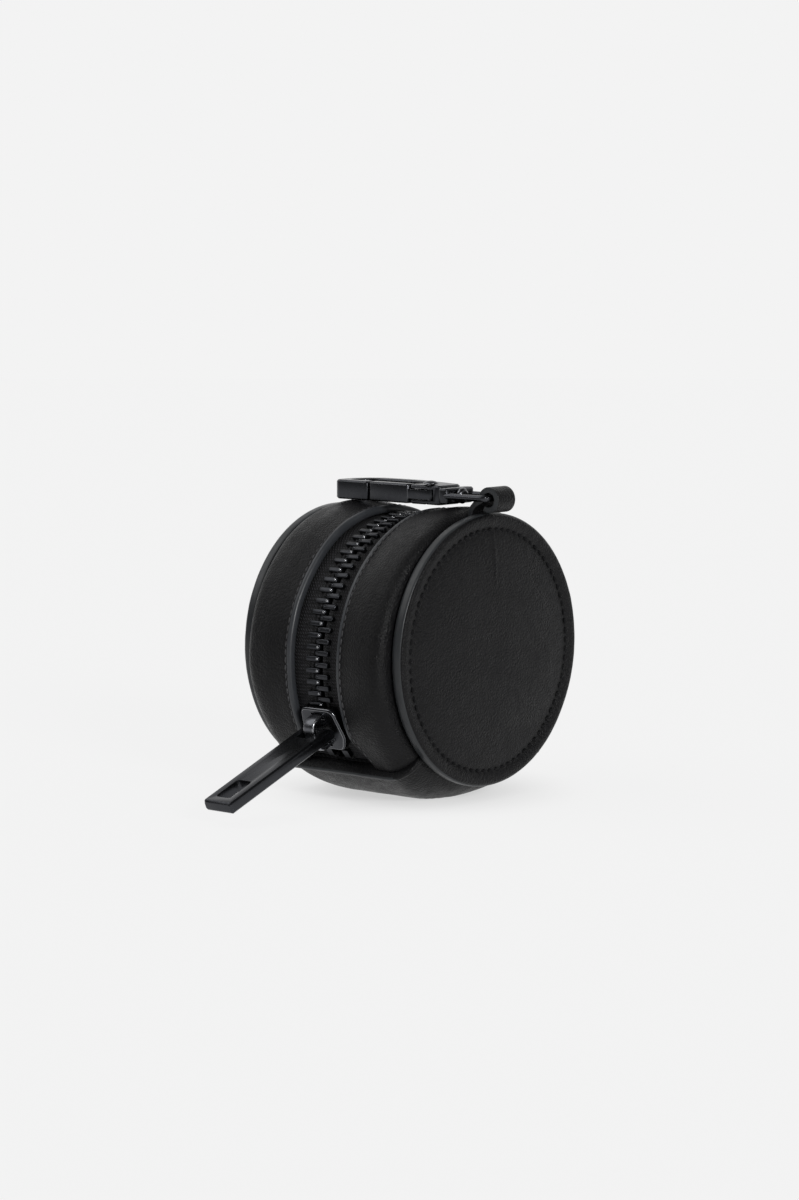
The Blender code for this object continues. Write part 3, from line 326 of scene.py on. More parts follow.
leather = faux_leather()
rim_paint = smooth_edge("dark acrylic edge paint", "#1E2022", "#2A2C2E")
# The border stitches take a darker copy of the thread, painted shade for the needle holes they sink into.
shade_thread = sewing_thread("black thread darkened as painted shade", "#070708", "#0E0E10", 0.08)
for half, side, body in (("right", 1, "drum"), ("left", -1, "left_half")):
    panel = turned(PANEL_PROFILE, side, PANEL_STEPS)
    for vert in panel.verts:
        if abs(vert.co.x) > PANEL_FACE_X:
            upward = vert.co.z - PANEL_Z
            turn = math.atan2(upward, -vert.co.y)
            from_row = math.hypot(vert.co.y, upward) - STITCH_RING
            drawn = STITCH_DIP * math.exp(-(from_row / STITCH_DIP_REACH) ** 2)
            drawn *= 0.5 + 0.5 * math.cos(turn * STITCH_COUNT)
            pucker = PUCKER_DEPTH * noise.noise((turn * PUCKER_RATE, 0.0, side))
            pucker *= math.exp(-(from_row / PUCKER_REACH) ** 2)
            wave = sum(depth * noise.noise(vert.co / length) for depth, length in PANEL_WAVES)
            along = (vert.co.z - CREASE_FROM) / (CREASE_TO - CREASE_FROM)
            crease = 0.0
            if side > 0 and 0.0 < along < 1.0:
                crease = CREASE_HEIGHT * math.sin(math.pi * along)
                crease *= math.exp(-((vert.co.y - CREASE_Y) / CREASE_REACH) ** 2)
            vert.co.x += side * (wave + crease + pucker - drawn)
    show(f"panel_leather_{half}", panel, leather, body, "leather", f"end_panel_{half}")
    rim = turned(RIM_PROFILE, side, RIM_STEPS, closed=True)
    show(f"painted_rim_{half}", rim, rim_paint, body, "leather")
    border = stitch_row(side * STITCH_X, STITCH_RING, PANEL_Z, 0.0, 360.0, STITCH_COUNT, STITCH_SIZE)
    show(f"border_stitches_{half}", border, shade_thread, body, "leather")


# Wadding, board and lining behind each end panel: a felt disk that pillows the leather, a stiff fibre board,
# and a twill-covered disk that closes the inside.
PAD_STEPS = 96
PAD_PROFILE = ((25.15, 0.0), (25.15, 28.1), (25.0, 29.0), (24.65, 29.38), (24.35, 29.1), (24.25, 28.1),
               (24.25, 0.0))
INNER_STEPS = 128
INNER_PROFILE = ((21.75, 0.0), (21.77, 12.0), (21.82, 22.0), (21.88, 26.5), (22.02, 28.7), (22.25, 29.3),
                 (22.5, 29.36), (22.56, 29.0), (22.56, 0.0))


def ribs_per_mm(pitch):
    """The scale of a wave whose bands are the given number of millimetres apart; they repeat every pi / 10."""
    return per_mm(pitch) * math.pi / 10


def plain_weave(name, dark, pale, pitch, rough):
    """A woven cloth: fine ribs of thread at a slant, with a soft matt face."""
    material, tree, shader, place = material_base(name)
    ribs = add_node(tree, "ShaderNodeTexWave", {"Vector": place, "Scale": ribs_per_mm(pitch), "Distortion": 0.6,
                                                "Detail": 1.0, "Detail Scale": 2.0}, bands_direction="DIAGONAL")
    fuzz = add_node(tree, "ShaderNodeTexNoise", {"Vector": place, "Scale": per_mm(0.4), "Detail": 2.0})
    height = add_node(tree, "ShaderNodeMath", {0: fuzz.outputs[0], 1: 0.5, 2: ribs.outputs[1]},
                      operation="MULTIPLY_ADD")
    relief = add_node(tree, "ShaderNodeBump", {"Height": height.outputs[0], "Strength": 0.6,
                                               "Distance": 0.00012})
    tree.links.new(tinted(tree, ribs.outputs[1], dark, pale), shader.inputs["Base Color"])
    tree.links.new(spread_of(tree, fuzz.outputs[0], rough - 0.06, rough + 0.06), shader.inputs["Roughness"])
    tree.links.new(relief.outputs[0], shader.inputs["Normal"])
    shader.inputs["Specular IOR Level"].default_value = 0.2
    return material


def pressed_fibre(name, dark, pale, size):
    """Felt or fibre board: short grey fibres pressed together, quite matt."""
    material, tree, shader, place = material_base(name)
    fibres = add_node(tree, "ShaderNodeTexNoise", {"Vector": place, "Scale": per_mm(size), "Detail": 5.0,
                                                   "Distortion": 1.5})
    relief = add_node(tree, "ShaderNodeBump", {"Height": fibres.outputs[0], "Strength": 0.5, "Distance": 0.0002})
    tree.links.new(tinted(tree, fibres.outputs[0], dark, pale), shader.inputs["Base Color"])
    tree.links.new(spread_of(tree, fibres.outputs[0], 0.82, 0.96), shader.inputs["Roughness"])
    tree.links.new(relief.outputs[0], shader.inputs["Normal"])
    return material


def finish_node(node, material):
    """Give a CAD node that stays in view its material."""
    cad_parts[node].data.materials.clear()
    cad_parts[node].data.materials.append(material)


felt = pressed_fibre("dark wool felt", "#2E2E30", "#454548", 0.9)
fibre_board = pressed_fibre("grey fibre board", "#4A4744", "#625E58", 0.5)
twill = plain_weave("black cotton twill", "#0E0E0F", "#1C1C1E", 0.7, 0.84)
for half, side, body in (("right", 1, "drum"), ("left", -1, "left_half")):
    pad = show(f"felt_pad_{half}", turned(PAD_PROFILE, side, PAD_STEPS), felt, body, "wadding", f"end_pad_{half}")
    finish_node(f"end_board_{half}", fibre_board)
    show(f"inner_disk_{half}", turned(INNER_PROFILE, side, INNER_STEPS), twill, body, "lining", f"end_lining_{half}")


# Zip gussets: a band of faux leather on each side of the zip. Its outer edge is sewn to the end panel in a deep
# groove, it swells over a shoulder to the crown, and its inner edge is folded thick and topstitched to the tape.
CROWN_Z = 0.0362
CROWN_SAG = 0.0027
CROWN_RADIUS = 38.0
CROWN_PILLOW = 0.8
BASE_TUCK = 0.8
BASE_BARREL = 8.3
GROOVE_RADIUS = 31.3
SHOULDER_START = 23.1
SHOULDER_END = 16.3
SHOULDER_FULLNESS = 0.45
SHOULDER_ROOT = 23.5
OUTER_STEPS = 16
LINED_STEPS = 8
LEATHER_WALL = 1.6
LOOP_RECESS = 1.6
RECESS_FULL = 14.0
RECESS_END = 32.0
SEAM_ANGLE = -43.5
SEAM_RISE = 1.9
SEAM_FOOT = 34.8
SEAM_CORNER = 7.3
SEAM_FOLD_FULL = 1.2
SEAM_FOLD_END = 2.5
SEAM_FOLD_EDGE = 0.7
EDGE_FLARE = 4.5
HALF_WINDOW = 7.6
PILLOW_START = 9.5
PILLOW_POINTS = (15.2, 14.0, 12.8, 11.6, 10.6)
SEAM_SPAN = 7.0
SEAM_STEPS = 16
ROUND_STEP = 2.0
FLANGE = ((25.2, 34.5), (23.78, 34.5), (23.62, 34.25), (23.6, 33.4), (23.6, 32.4), (23.57, 31.7),
          (23.42, 31.38))
FOLDED_EDGE = ((9.7, 37.95), (9.25, 37.84), (8.85, 37.93), (8.45, 38.02), (8.1, 37.94), (7.84, 37.74),
               (7.68, 37.42), (7.6, 37.0), (7.6, 36.5), (7.72, 36.05), (8.1, 35.76), (8.8, 35.7), (10.9, 35.7),
               (13.0, 35.7), (13.6, 35.95), (14.0, 36.4))
FREE_SHARE = 0.3
RUMPLE_LENGTH = 0.012
FINE_RUMPLE = 0.3
FINE_RUMPLE_LENGTH = 0.005
GUSSET_RUMPLE = 0.00024
# The folded edge out to this distance takes the lighter finish, a painted highlight.
FOLD_HIGHLIGHT_X = 0.0090
SEAM_PAINT_RADIUS = 0.0394
TOPSTITCH_X = 0.00925
TOPSTITCH_RADIUS = 0.03792
TOPSTITCH_COUNT = 84
TOPSTITCH_SIZE = (0.00046, 0.00046, 0.0016)
TOPSTITCH_MARGIN = 5.0
LINING_BACK = 1.9
LINING_INNER_BACK = 2.7
LINING_WALL = 0.8
COVER_DROP = 4.3
COVER_EDGE_X = 8.9


def smooth_step(low, high, value):
    """A smooth climb from 0 at one value to 1 at another."""
    share = min(max((value - low) / (high - low), 0.0), 1.0)
    return share * share * (3.0 - 2.0 * share)


def form(angle):
    """Crown radius, inner end of the shoulder and fullness of the shoulder at an angle round the drum.

    The leather stands full and pillowed over the top, and relaxes into a rounder belly under the drum.
    """
    from_top = abs((angle + 90.0) % 360.0 - 180.0)
    relaxed = smooth_step(85.0, 140.0, from_top)
    belly = smooth_step(90.0 - SEAM_ANGLE, 180.0, from_top)
    top = CROWN_RADIUS + CROWN_PILLOW * (1.0 - relaxed) - BASE_TUCK * belly
    return top, SHOULDER_END - BASE_BARREL * belly, SHOULDER_FULLNESS + (1.0 - SHOULDER_FULLNESS) * relaxed


def fixed(x, radius, sag=1.0, rise=0.0):
    """A point of a section that is the same all round: its x, radius, share of the sag and rise at a seam."""
    return lambda angle: (x, radius, sag, rise)


def seam_corner(x, radius):
    """How far a point is turned up at a cross seam, whose edge runs in a round corner from rim to rim."""
    corner = math.sqrt(1.0 - min(max((x - SHOULDER_END) / SEAM_CORNER, 0.0), 1.0) ** 2)
    return max(SEAM_FOOT + (CROWN_RADIUS + SEAM_RISE - SEAM_FOOT) * corner - radius, 0.0)


def swelling(share, back, drop, turned_up=0.0):
    """A point on the shoulder, the given share of the way from the groove to the crown, as deep in as asked."""
    def place(angle):
        top, end, fullness = form(angle)
        across, rise = math.cos(math.pi / 2 * share), math.sin(math.pi / 2 * share)
        power = 2.0 / fullness
        reach = (max(across, 0.0) ** power + rise ** power) ** (-1.0 / power)
        across, rise = across * reach, rise * reach
        x = end + (SHOULDER_START - back - end) * across
        radius = GROOVE_RADIUS + (top - drop - GROOVE_RADIUS) * rise
        return x, radius, rise, seam_corner(x, radius) * turned_up
    return place


def crown(share, drop, rise):
    """A point on the crown of the base, the given share of the way from the middle to the shoulder."""
    return lambda angle: (form(angle)[1] * share, form(angle)[0] - drop, 1.0, rise)


def pillow(x):
    """A point on the crown of a zip gusset, between the shoulder and the folded edge."""
    def place(angle):
        sunk = (form(angle)[0] - CROWN_RADIUS) * (1.0 - smooth_step(PILLOW_START, SHOULDER_END, x))
        return flared(x, angle), form(angle)[0] - sunk, 1.0, 0.0
    return place


def flared(x, angle):
    """Where a point beside the zip lies, with the two edges drawn apart at the ends of the zip."""
    apart = EDGE_FLARE * smooth_step(115.0, 90.0 - SEAM_ANGLE, abs(angle - 90.0))
    return x + apart * (SHOULDER_END - x) / (SHOULDER_END - HALF_WINDOW)


def folded(x, radius):
    """A point on the folded edge beside the zip."""
    return lambda angle: (flared(x, angle), radius, 1.0, 0.0)


def shoulder(back, drop, count, turned_up=0.0):
    """The whole shoulder, from the groove to the crown."""
    return [swelling(step / count, back, drop, turned_up) for step in range(count + 1)]


def outer_side(turned_up):
    """From the rim down into the groove and up the shoulder, turned up at a cross seam as far as asked."""
    flange = [fixed(x, radius, 0.0, seam_corner(x, radius) * turned_up) for x, radius in FLANGE]
    return flange + shoulder(0.0, 0.0, OUTER_STEPS, turned_up)


def inner_side():
    """From under the crown down inside the shoulder and along to the end panel."""
    along = [fixed(21.5, 29.7, 0.0), fixed(25.2, 29.7, 0.0)]
    return shoulder(LEATHER_WALL, LEATHER_WALL, LINED_STEPS)[::-1] + along


def lining_outside(drop):
    """The outer face of a lining, from the crown down to its edge."""
    return shoulder(LINING_BACK, drop, LINED_STEPS)[::-1] + [fixed(21.2, 29.4, 0.0)]


def lining_inside(drop):
    """The inner face of a lining, from its edge back up to the crown."""
    return [fixed(20.4, 29.4, 0.0)] + shoulder(LINING_INNER_BACK, drop + LINING_WALL, LINED_STEPS)


def seam_fold(distance):
    """How far the leather is turned up at a distance in millimetres from the cross seam."""
    turned_up = 1.0 - smooth_step(SEAM_FOLD_FULL, SEAM_FOLD_END, distance)
    return turned_up * smooth_step(-SEAM_FOLD_EDGE, SEAM_FOLD_EDGE, distance)


def wrapped(section, side, start, end, rumple=0.0, least=0.0, recess=0.0):
    """Carry a section's points round the crown between two angles, closer together near the cross seams.

    Each point keeps to its own circle, which is centred lower the more it shares in the sag of the crown. A
    recess draws the shoulder back at the top of the drum, and no point goes below the least height.
    """
    bm = bmesh.new()
    place = bm.verts.layers.int.new("place")
    hub = Vector((0.0, 0.0, CROWN_Z))
    first = Matrix.Rotation(math.radians(90.0 - start), 3, "X")
    for index, point in enumerate(section):
        x, radius, _, _ = point(start)
        vert = bm.verts.new(hub + first @ Vector((side * x, 0.0, radius)) / 1000)
        vert[place] = index
    ring = bm.verts[:]
    edges = [bm.edges.new((vert, ring[index - 1])) for index, vert in enumerate(ring)]
    middle = round((end - start - 2 * SEAM_SPAN) / ROUND_STEP)
    steps = middle + 2 * SEAM_STEPS
    bmesh.ops.spin(bm, geom=ring + edges, cent=hub, axis=(-1.0, 0.0, 0.0), angle=math.radians(end - start),
                   steps=steps)
    bmesh.ops.holes_fill(bm, edges=[edge for edge in bm.edges if edge.is_boundary])
    for vert in bm.verts:
        turn = math.degrees(math.atan2(vert.co.z - CROWN_Z, -vert.co.y)) - start
        station = round(((turn + 1.0) % 360.0 - 1.0) / (end - start) * steps)
        nearest = min(station, steps - station)
        if nearest <= SEAM_STEPS:
            from_end = SEAM_SPAN * nearest / SEAM_STEPS
            angle = start + from_end if station == nearest else end - from_end
        else:
            angle = start + SEAM_SPAN + (end - start - 2 * SEAM_SPAN) * (station - SEAM_STEPS) / middle
        x, radius, sag, rise = section[vert[place]](angle)
        drawn = recess * (1.0 - smooth_step(RECESS_FULL, RECESS_END, abs(angle - 90.0)))
        if SHOULDER_END < x < SHOULDER_ROOT:
            x -= drawn * (x - SHOULDER_END) / (SHOULDER_START - SHOULDER_END)
        radius += rise * seam_fold(min(angle - start, end - angle) * math.radians(CROWN_RADIUS))
        across, upward = math.cos(math.radians(angle)), math.sin(math.radians(angle))
        lift = CROWN_SAG * (1.0 - sag)
        reach = lift * upward + math.sqrt((radius / 1000) ** 2 - (lift * across) ** 2)
        spot = Vector((side * x / 1000, -reach * across, CROWN_Z + reach * upward))
        if sag > FREE_SHARE:
            away = rumple * noise.noise(spot / RUMPLE_LENGTH)
            away += FINE_RUMPLE * rumple * noise.noise(spot / FINE_RUMPLE_LENGTH)
            spot += Vector((0.0, -across, upward)) * away
        spot.z = max(spot.z, least)
        vert.co = spot
    return bm


def paint_edge(piece, material, bare):
    """Paint the faces of a piece whose middles pass a test."""
    piece.data.materials.append(material)
    for face in piece.data.polygons:
        if bare(face.center):
            face.material_index = 1


def turned_out(middle):
    """The edges turned out at the cross seams."""
    return math.hypot(middle.y, middle.z - CROWN_Z) > SEAM_PAINT_RADIUS


def raw_edge(middle):
    """The folded edge beside the zip, and the edges turned out at the cross seams."""
    return abs(middle.x) < FOLD_HIGHLIGHT_X or turned_out(middle)


# The topstitches take a paler copy of the thread, as a painted highlight.
highlight_thread = sewing_thread("black thread paled as painted highlight", "#161618", "#26262A", 0.6)
# The fold and the turned-out seam edges take a lighter copy of the edge finish as a painted highlight.
fold_highlight = smooth_edge("leather fold with painted highlight", "#25272A", "#323437")
gusset_section = outer_side(0.12) + [pillow(x) for x in PILLOW_POINTS]
gusset_section += [folded(x, radius) for x, radius in FOLDED_EDGE]
gusset_section += inner_side()
for half, side, body, recess in (("right", 1, "drum", LOOP_RECESS), ("left", -1, "left_half", 0.0)):
    band = wrapped(gusset_section, side, SEAM_ANGLE, 180.0 - SEAM_ANGLE, rumple=GUSSET_RUMPLE, recess=recess)
    gusset = show(f"gusset_leather_{half}", band, leather, body, "leather", f"zip_gusset_{half}")
    paint_edge(gusset, fold_highlight, raw_edge)
    topstitch = stitch_row(side * TOPSTITCH_X, TOPSTITCH_RADIUS, CROWN_Z, SEAM_ANGLE + TOPSTITCH_MARGIN,
                           180.0 - TOPSTITCH_MARGIN - SEAM_ANGLE, TOPSTITCH_COUNT, TOPSTITCH_SIZE)
    for vert in topstitch.verts:
        angle = math.degrees(math.atan2(vert.co.z - CROWN_Z, abs(vert.co.y)))
        vert.co.x = side * flared(abs(vert.co.x) * 1000, angle) / 1000
    show(f"topstitches_{half}", topstitch, highlight_thread, body, "leather")
    cover = [fixed(COVER_EDGE_X, 34.5)] + lining_outside(COVER_DROP)
    cover += lining_inside(COVER_DROP) + [fixed(COVER_EDGE_X, 33.7)]
    lining = wrapped(cover, side, SEAM_ANGLE, 180.0 - SEAM_ANGLE, recess=recess)
    show(f"gusset_twill_{half}", lining, twill, body, "lining", f"gusset_lining_{half}")


# Base gusset: the band under the purse, cut in one piece from rim to rim and pressed flat where it rests. Its
# ends are sewn to the zip gussets with the edges turned out.
BASE_GAP = 0.45
BASE_RUMPLE = 0.00018
BASE_LINING_FLOOR = 0.0019
CROWN_SHARES = (0.78, 0.52, 0.26, 0.0)


def on_left(points):
    """The same points on the left side, in the opposite order."""
    def flipped(point):
        def place(angle):
            x, *rest = point(angle)
            return (-x, *rest)
        return place
    return [flipped(point) for point in reversed(points)]


base_start, base_end = 180.0 - SEAM_ANGLE + BASE_GAP, 360.0 + SEAM_ANGLE - BASE_GAP
base_outer = outer_side(1.0) + [crown(share, 0.0, SEAM_RISE) for share in CROWN_SHARES]
base_inner = [crown(share, LEATHER_WALL, 0.0) for share in reversed(CROWN_SHARES)] + inner_side()
base_section = base_outer + on_left(base_outer)[1:] + on_left(base_inner)[:-1] + base_inner
base = wrapped(base_section, 1, base_start, base_end, rumple=BASE_RUMPLE)
base_piece = show("base_leather", base, leather, None, "leather", "base_gusset")
paint_edge(base_piece, rim_paint, turned_out)
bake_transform(base_piece)
outside = [crown(share, LINING_BACK, 0.0) for share in reversed(CROWN_SHARES)] + lining_outside(LINING_BACK)
inside = lining_inside(LINING_BACK) + [crown(share, LINING_INNER_BACK, 0.0) for share in CROWN_SHARES]
base_cover = outside + inside + on_left(inside)[1:] + on_left(outside)[:-1]
base_twill = wrapped(base_cover, 1, base_start, base_end, least=BASE_LINING_FLOOR)
base_lining = show("base_twill", base_twill, twill, None, "lining", "base_lining")
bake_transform(base_lining)


# Zip tapes: two strips of black polyester tape sewn under the folded edges, each with a woven cord along its
# inner edge that the teeth grip.
TAPE_SECTION = ((2.3, 34.85), (13.5, 34.85), (13.5, 35.35), (2.3, 35.35))
CORD_X = 1.95
CORD_RADIUS = 0.75
CORD_SIDES = 10
CORD_PARTING = 0.9
PARTING_FRONT = (-27.0, -22.0)
PARTING_BACK = (178.0, 183.0)
TAPE_SEWN_X = 13.0
WEAVE_PITCH = 0.9
CHAIN_RADIUS = 35.1


def tape_weave():
    """Woven polyester zip tape: crossed ribs 0.9 mm apart, drawn a little coarse to show, quite matt."""
    material, tree, shader, _ = material_base("black woven polyester tape")
    along = add_node(tree, "ShaderNodeTexCoord").outputs["UV"]
    warp = add_node(tree, "ShaderNodeTexWave", {"Vector": along, "Scale": ribs_per_mm(WEAVE_PITCH),
                                                "Distortion": 0.4},
                    bands_direction="X")
    weft = add_node(tree, "ShaderNodeTexWave", {"Vector": along, "Scale": ribs_per_mm(WEAVE_PITCH),
                                                "Distortion": 0.4},
                    bands_direction="Y")
    crossed = add_node(tree, "ShaderNodeMath", {0: warp.outputs[1], 1: weft.outputs[1]}, operation="MULTIPLY")
    relief = add_node(tree, "ShaderNodeBump", {"Height": crossed.outputs[0], "Strength": 0.9,
                                               "Distance": 0.00025})
    tree.links.new(tinted(tree, crossed.outputs[0], "#101011", "#2E2E31"), shader.inputs["Base Color"])
    tree.links.new(relief.outputs[0], shader.inputs["Normal"])
    shader.inputs["Roughness"].default_value = 0.8
    shader.inputs["Specular IOR Level"].default_value = 0.25
    return material


def lay_weave(bm):
    """Lay the weave along the tape: metres round the chain's circle, and metres across the drum."""
    layer = bm.loops.layers.uv.new("weave")
    for face in bm.faces:
        middle = face.calc_center_median()
        near = math.atan2(middle.z - CROWN_Z, -middle.y)
        for loop in face.loops:
            spot = loop.vert.co
            turn = math.atan2(spot.z - CROWN_Z, -spot.y)
            turn += 2 * math.pi * round((near - turn) / (2 * math.pi))
            loop[layer].uv = (turn * CHAIN_RADIUS / 1000, spot.x + spot.z - CROWN_Z)


def beside_wedge(x, radius):
    """A point of the tape, which makes room for the slider's wedge where the slider stops at either end."""
    def place(angle):
        apart = 1.0 - smooth_step(*PARTING_FRONT, angle) + smooth_step(*PARTING_BACK, angle)
        return x + CORD_PARTING * apart * (x < TAPE_SEWN_X), radius, 1.0, 0.0
    return place


tape_cloth = tape_weave()
cord_section = []
for step in range(CORD_SIDES):
    turn = 2 * math.pi * step / CORD_SIDES
    cord_section.append(beside_wedge(CORD_X + CORD_RADIUS * math.cos(turn),
                                     CHAIN_RADIUS + CORD_RADIUS * math.sin(turn)))
for half, side, body in (("right", 1, "drum"), ("left", -1, "left_half")):
    tape_section = [beside_wedge(x, radius) for x, radius in TAPE_SECTION]
    tape = wrapped(tape_section, side, SEAM_ANGLE, 180.0 - SEAM_ANGLE)
    cord = wrapped(cord_section, side, SEAM_ANGLE, 180.0 - SEAM_ANGLE)
    spare = bpy.data.meshes.new("cord")
    cord.to_mesh(spare)
    tape.from_mesh(spare)
    cord.free()
    bpy.data.meshes.remove(spare)
    lay_weave(tape)
    show(f"woven_tape_{half}", tape, tape_cloth, body, "zip_tape", f"zip_tape_{half}")


# Zip teeth: two rows of plain die-cast bars clamped on the cords. The rows mesh in the middle, two teeth are
# short where the slider's wedge stands when the zip is fully open, and small metal stops close both ends.
TOOTH_PITCH = math.degrees(0.0029 / 0.0351)
TOOTH_TURN = math.degrees(0.00115 / 0.0351)
TOOTH_SIZE = (0.0042, 0.00128, 0.0029)
TOOTH_INNER = -0.0006
TOOTH_TIP_SHARE = 0.86
TOOTH_ROUNDING = 0.00024
NIB_INSET = 0.0005
NIB_LIFT = 0.40
NIB_RADIUS = 0.00042
TOOTH_COUNT = 47
WEDGE_STOP = (183.0, 192.0)
WEDGE_ROOM = 0.00235
WEDGE_REACH = 0.0008
SLIDER_ANGLE = -25.5


def plated_zinc(name, dark, pale, low, high):
    """Zinc die-casting plated black: a satin face with faint polishing marks and a cloudy sheen."""
    material, tree, shader, place = material_base(name)
    marks = add_node(tree, "ShaderNodeTexNoise", {"Vector": place, "Scale": per_mm(0.8), "Detail": 4.0})
    cloud = add_node(tree, "ShaderNodeTexNoise", {"Vector": place, "Scale": per_mm(6.0), "Detail": 2.0})
    relief = add_node(tree, "ShaderNodeBump", {"Height": marks.outputs[0], "Strength": 0.05, "Distance": 0.00005})
    tree.links.new(tinted(tree, cloud.outputs[0], dark, pale), shader.inputs["Base Color"])
    tree.links.new(spread_of(tree, marks.outputs[0], low, high), shader.inputs["Roughness"])
    tree.links.new(relief.outputs[0], shader.inputs["Normal"])
    shader.inputs["Metallic"].default_value = 1.0
    return material


def softened(node, width):
    """A copy of a CAD solid with its flat faces made whole, and its sharp edges rounded in a second material."""
    bm = bmesh.new()
    bm.from_mesh(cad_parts[node].data)
    bmesh.ops.remove_doubles(bm, verts=bm.verts, dist=2e-6)
    bmesh.ops.dissolve_limit(bm, angle_limit=math.radians(1.0), verts=bm.verts, edges=bm.edges)
    sharp = [edge for edge in bm.edges if edge.is_manifold and edge.calc_face_angle() > math.radians(28)]
    rounded = bmesh.ops.bevel(bm, geom=sharp, offset=width, segments=2, profile=0.5, affect="EDGES",
                              clamp_overlap=True, material=-1)
    for face in rounded["faces"]:
        face.material_index = 1
    return bm


def plated(node, body, width, face):
    """Show a casting: a copy of its CAD solid whose rounded edges take a paler zinc as a painted highlight."""
    casting = show(f"plated_{node}", softened(node, width), face, body, "hardware", node, crisp=50.0)
    casting.data.materials.append(edge_highlight_zinc)


black_zinc = plated_zinc("black plated zinc", "#36373A", "#404144", 0.26, 0.32)
# A paler zinc on the rounded edges of the castings paints the highlights along them.
edge_highlight_zinc = plated_zinc("paler zinc painted as edge highlights", "#7C7D80", "#909194", 0.2, 0.28)
# A paler zinc on the slider's bridge paints its highlight.
bridge_highlight_zinc = plated_zinc("paler zinc painted as a bridge highlight", "#55565A", "#636468", 0.26, 0.34)
# A pale zinc paints the glints on the inner ends of the left row of teeth.
glint_zinc = plated_zinc("paler zinc painted as glints", "#8C8D90", "#A5A6A8", 0.18, 0.28)
tooth_zinc = plated_zinc("oxidised zinc teeth", "#303134", "#3A3B3E", 0.3, 0.4)
# The left row's nibs take the pale zinc as painted glints; the right row's nibs are plain.
for half, side, body, offset, tip in (("right", 1, "drum", 0.25, tooth_zinc),
                                      ("left", -1, "left_half", 0.75, glint_zinc)):
    row = bmesh.new()
    length, _, height = TOOTH_SIZE
    tooth_z = CROWN_Z + CHAIN_RADIUS / 1000
    middle = Matrix.Translation((side * (TOOTH_INNER + length / 2), 0.0, tooth_z))
    bmesh.ops.create_cube(row, size=1.0, matrix=middle @ Matrix.Diagonal((*TOOTH_SIZE, 1.0)))
    for vert in row.verts:
        if side * vert.co.x < 0.0:
            vert.co.z = tooth_z + (vert.co.z - tooth_z) * TOOTH_TIP_SHARE
    bmesh.ops.bevel(row, geom=row.edges[:], offset=TOOTH_ROUNDING, segments=2, profile=0.5, affect="EDGES",
                    material=-1)
    nibs = bmesh.new()
    nib = Matrix.Translation((side * (TOOTH_INNER + NIB_INSET), 0.0, tooth_z + height * NIB_LIFT))
    bmesh.ops.create_uvsphere(nibs, u_segments=8, v_segments=6, radius=NIB_RADIUS, matrix=nib)
    first = SLIDER_ANGLE + TOOTH_PITCH * offset + TOOTH_TURN / 2
    hub = (0.0, 0.0, CROWN_Z)
    for bm in (row, nibs):
        bmesh.ops.rotate(bm, verts=bm.verts, cent=hub, matrix=Matrix.Rotation(math.radians(90.0 - first), 3, "X"))
        bmesh.ops.spin(bm, geom=bm.verts[:] + bm.edges[:] + bm.faces[:], cent=hub, axis=(-1.0, 0.0, 0.0),
                       angle=math.radians(TOOTH_PITCH) * (TOOTH_COUNT - 1), steps=TOOTH_COUNT - 1,
                       use_duplicate=True)
        for vert in bm.verts:
            angle = math.degrees(math.atan2(vert.co.z - CROWN_Z, -vert.co.y)) % 360.0
            if side > 0 and WEDGE_STOP[0] < angle < WEDGE_STOP[1] and vert.co.x < WEDGE_REACH:
                vert.co.x += WEDGE_ROOM
    show(f"tooth_row_{half}", row, tooth_zinc, body, "hardware", f"zip_chain_{half}", crisp=50.0)
    show(f"tooth_nibs_{half}", nibs, tip, body, "hardware", crisp=50.0)
    finish_node(f"top_stop_{half}", tooth_zinc)
finish_node("bottom_stop", tooth_zinc)


# Slider, bridge and pull: die-cast and plated like the rest of the hardware. The bridge is set in the slider's
# top plate, and the pull swings on it by the eye at its end.
plated("slider_body", "slider", 0.00025, black_zinc)
# The bridge is cast in a paler zinc, as a painted highlight.
plated("slider_bridge", "slider", 0.00035, bridge_highlight_zinc)
plated("pull_tab", "pull", 0.0002, black_zinc)


# Leather loop: a strip of the same leather that comes up out of the right seam and rolls over into a ring, with
# its cut edges painted.
LOOP_X = 0.0286
LOOP_Z = 0.0774
LOOP_OUTER = 0.0033
LOOP_WALL = 0.0015
LOOP_STRIP = 0.0068
TAIL_X = 0.02255
TAIL_Z = 0.0713
TAIL_BENDS = ((0.0, 0.0), (0.0, 0.0022), (0.0004, 0.0036), (0.0015, 0.0048))
LOOP_STRIPES = 4
LOOP_EDGE_ROUNDING = 0.0004

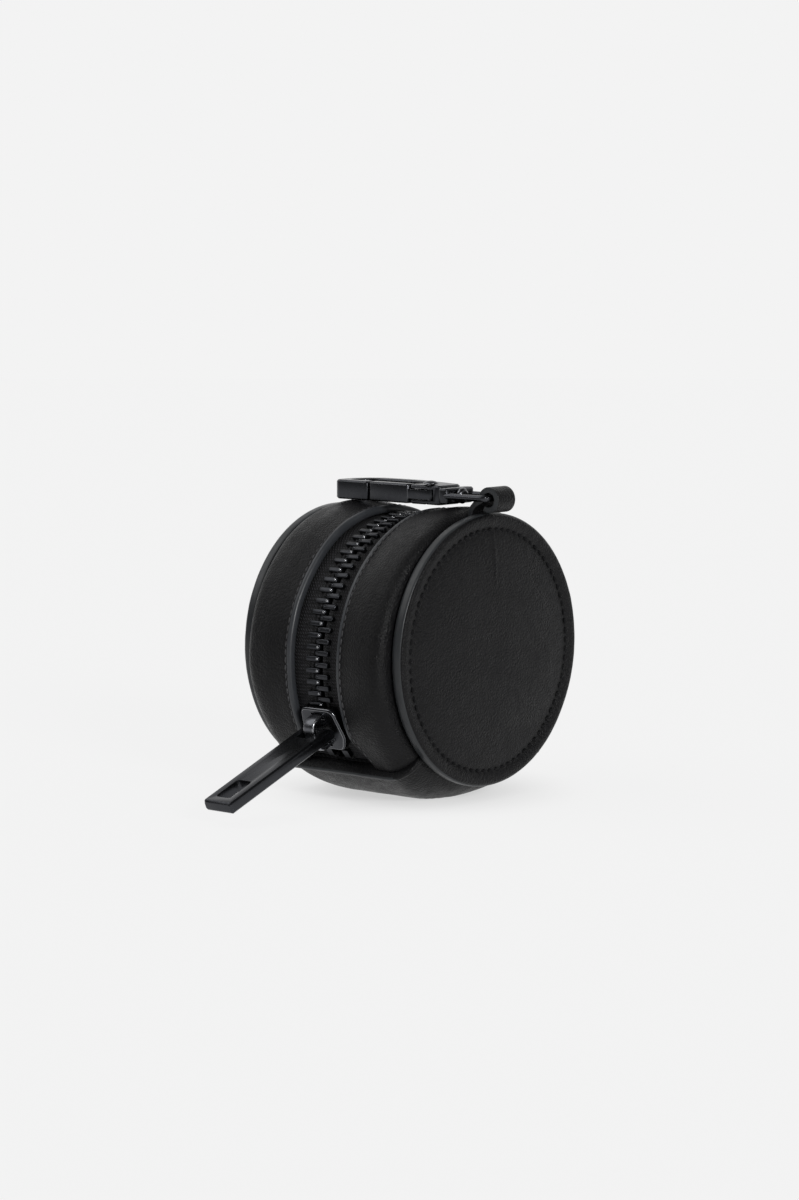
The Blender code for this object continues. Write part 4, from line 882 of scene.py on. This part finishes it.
loop = bmesh.new()
ring_radius = LOOP_OUTER - LOOP_WALL / 2
path = [Vector((TAIL_X + out, 0.0, TAIL_Z + up)) for out, up in TAIL_BENDS]
for turn in range(186, -138, -12):
    path.append(Vector((LOOP_X + ring_radius * math.cos(math.radians(turn)), 0.0,
                        LOOP_Z + ring_radius * math.sin(math.radians(turn)))))
strip = [loop.verts.new(spot - Vector((0.0, LOOP_STRIP / 2, 0.0))) for spot in path]
edges = [loop.edges.new(pair) for pair in zip(strip, strip[1:])]
for _ in range(LOOP_STRIPES):
    grown = bmesh.ops.extrude_edge_only(loop, edges=edges)["geom"]
    lifted = [item for item in grown if isinstance(item, bmesh.types.BMVert)]
    edges = [item for item in grown if isinstance(item, bmesh.types.BMEdge)
             and all(vert in lifted for vert in item.verts)]
    bmesh.ops.translate(loop, vec=(0.0, LOOP_STRIP / LOOP_STRIPES, 0.0), verts=lifted)
loop_piece = show("rolled_loop", loop, leather, "drum", "leather", "loop_tab", crisp=60.0)
loop_piece.data.materials.append(rim_paint)
wall = loop_piece.modifiers.new("wall", "SOLIDIFY")
wall.thickness = LOOP_WALL
wall.offset = 0.0
wall.use_even_offset = True
wall.material_offset_rim = 1
rounding = loop_piece.modifiers.new("painted edges", "BEVEL")
rounding.width = LOOP_EDGE_ROUNDING
rounding.segments = 3


# Clip: a cast stirrup hangs in the loop, and a riveted post through its base lets the snap hook turn. The gate
# is pinned in the hook's fork by a domed rivet and held shut by a leaf spring, whose long edges are cut finer.
CASTINGS = (("clip_eye", "eye", 0.00024), ("swivel_post", "hook", 0.0002), ("hook_body", "hook", 0.00024),
            ("hook_gate", "gate", 0.00024), ("gate_rivet", "hook", 0.0002))
LEAF_HEIGHT = 0.0022
LEAF_MARGIN = 0.0003
LEAF_CUTS = 6
spring_steel = plated_zinc("bright spring steel", "#9A9A9A", "#B4B4B4", 0.22, 0.34)
for node, body, width in CASTINGS:
    plated(node, body, width, black_zinc)
leaf = bmesh.new()
leaf.from_mesh(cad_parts["gate_spring"].data)
bmesh.ops.remove_doubles(leaf, verts=leaf.verts, dist=2e-6)
bmesh.ops.dissolve_limit(leaf, angle_limit=math.radians(1.0), verts=leaf.verts, edges=leaf.edges)
straight = [edge for edge in leaf.edges if edge.calc_length() > LEAF_HEIGHT + LEAF_MARGIN]
bmesh.ops.subdivide_edges(leaf, edges=straight, cuts=LEAF_CUTS, use_grid_fill=True)
leaf_spring = show("leaf_spring", leaf, spring_steel, None, "spring", "gate_spring")
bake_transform(leaf_spring)
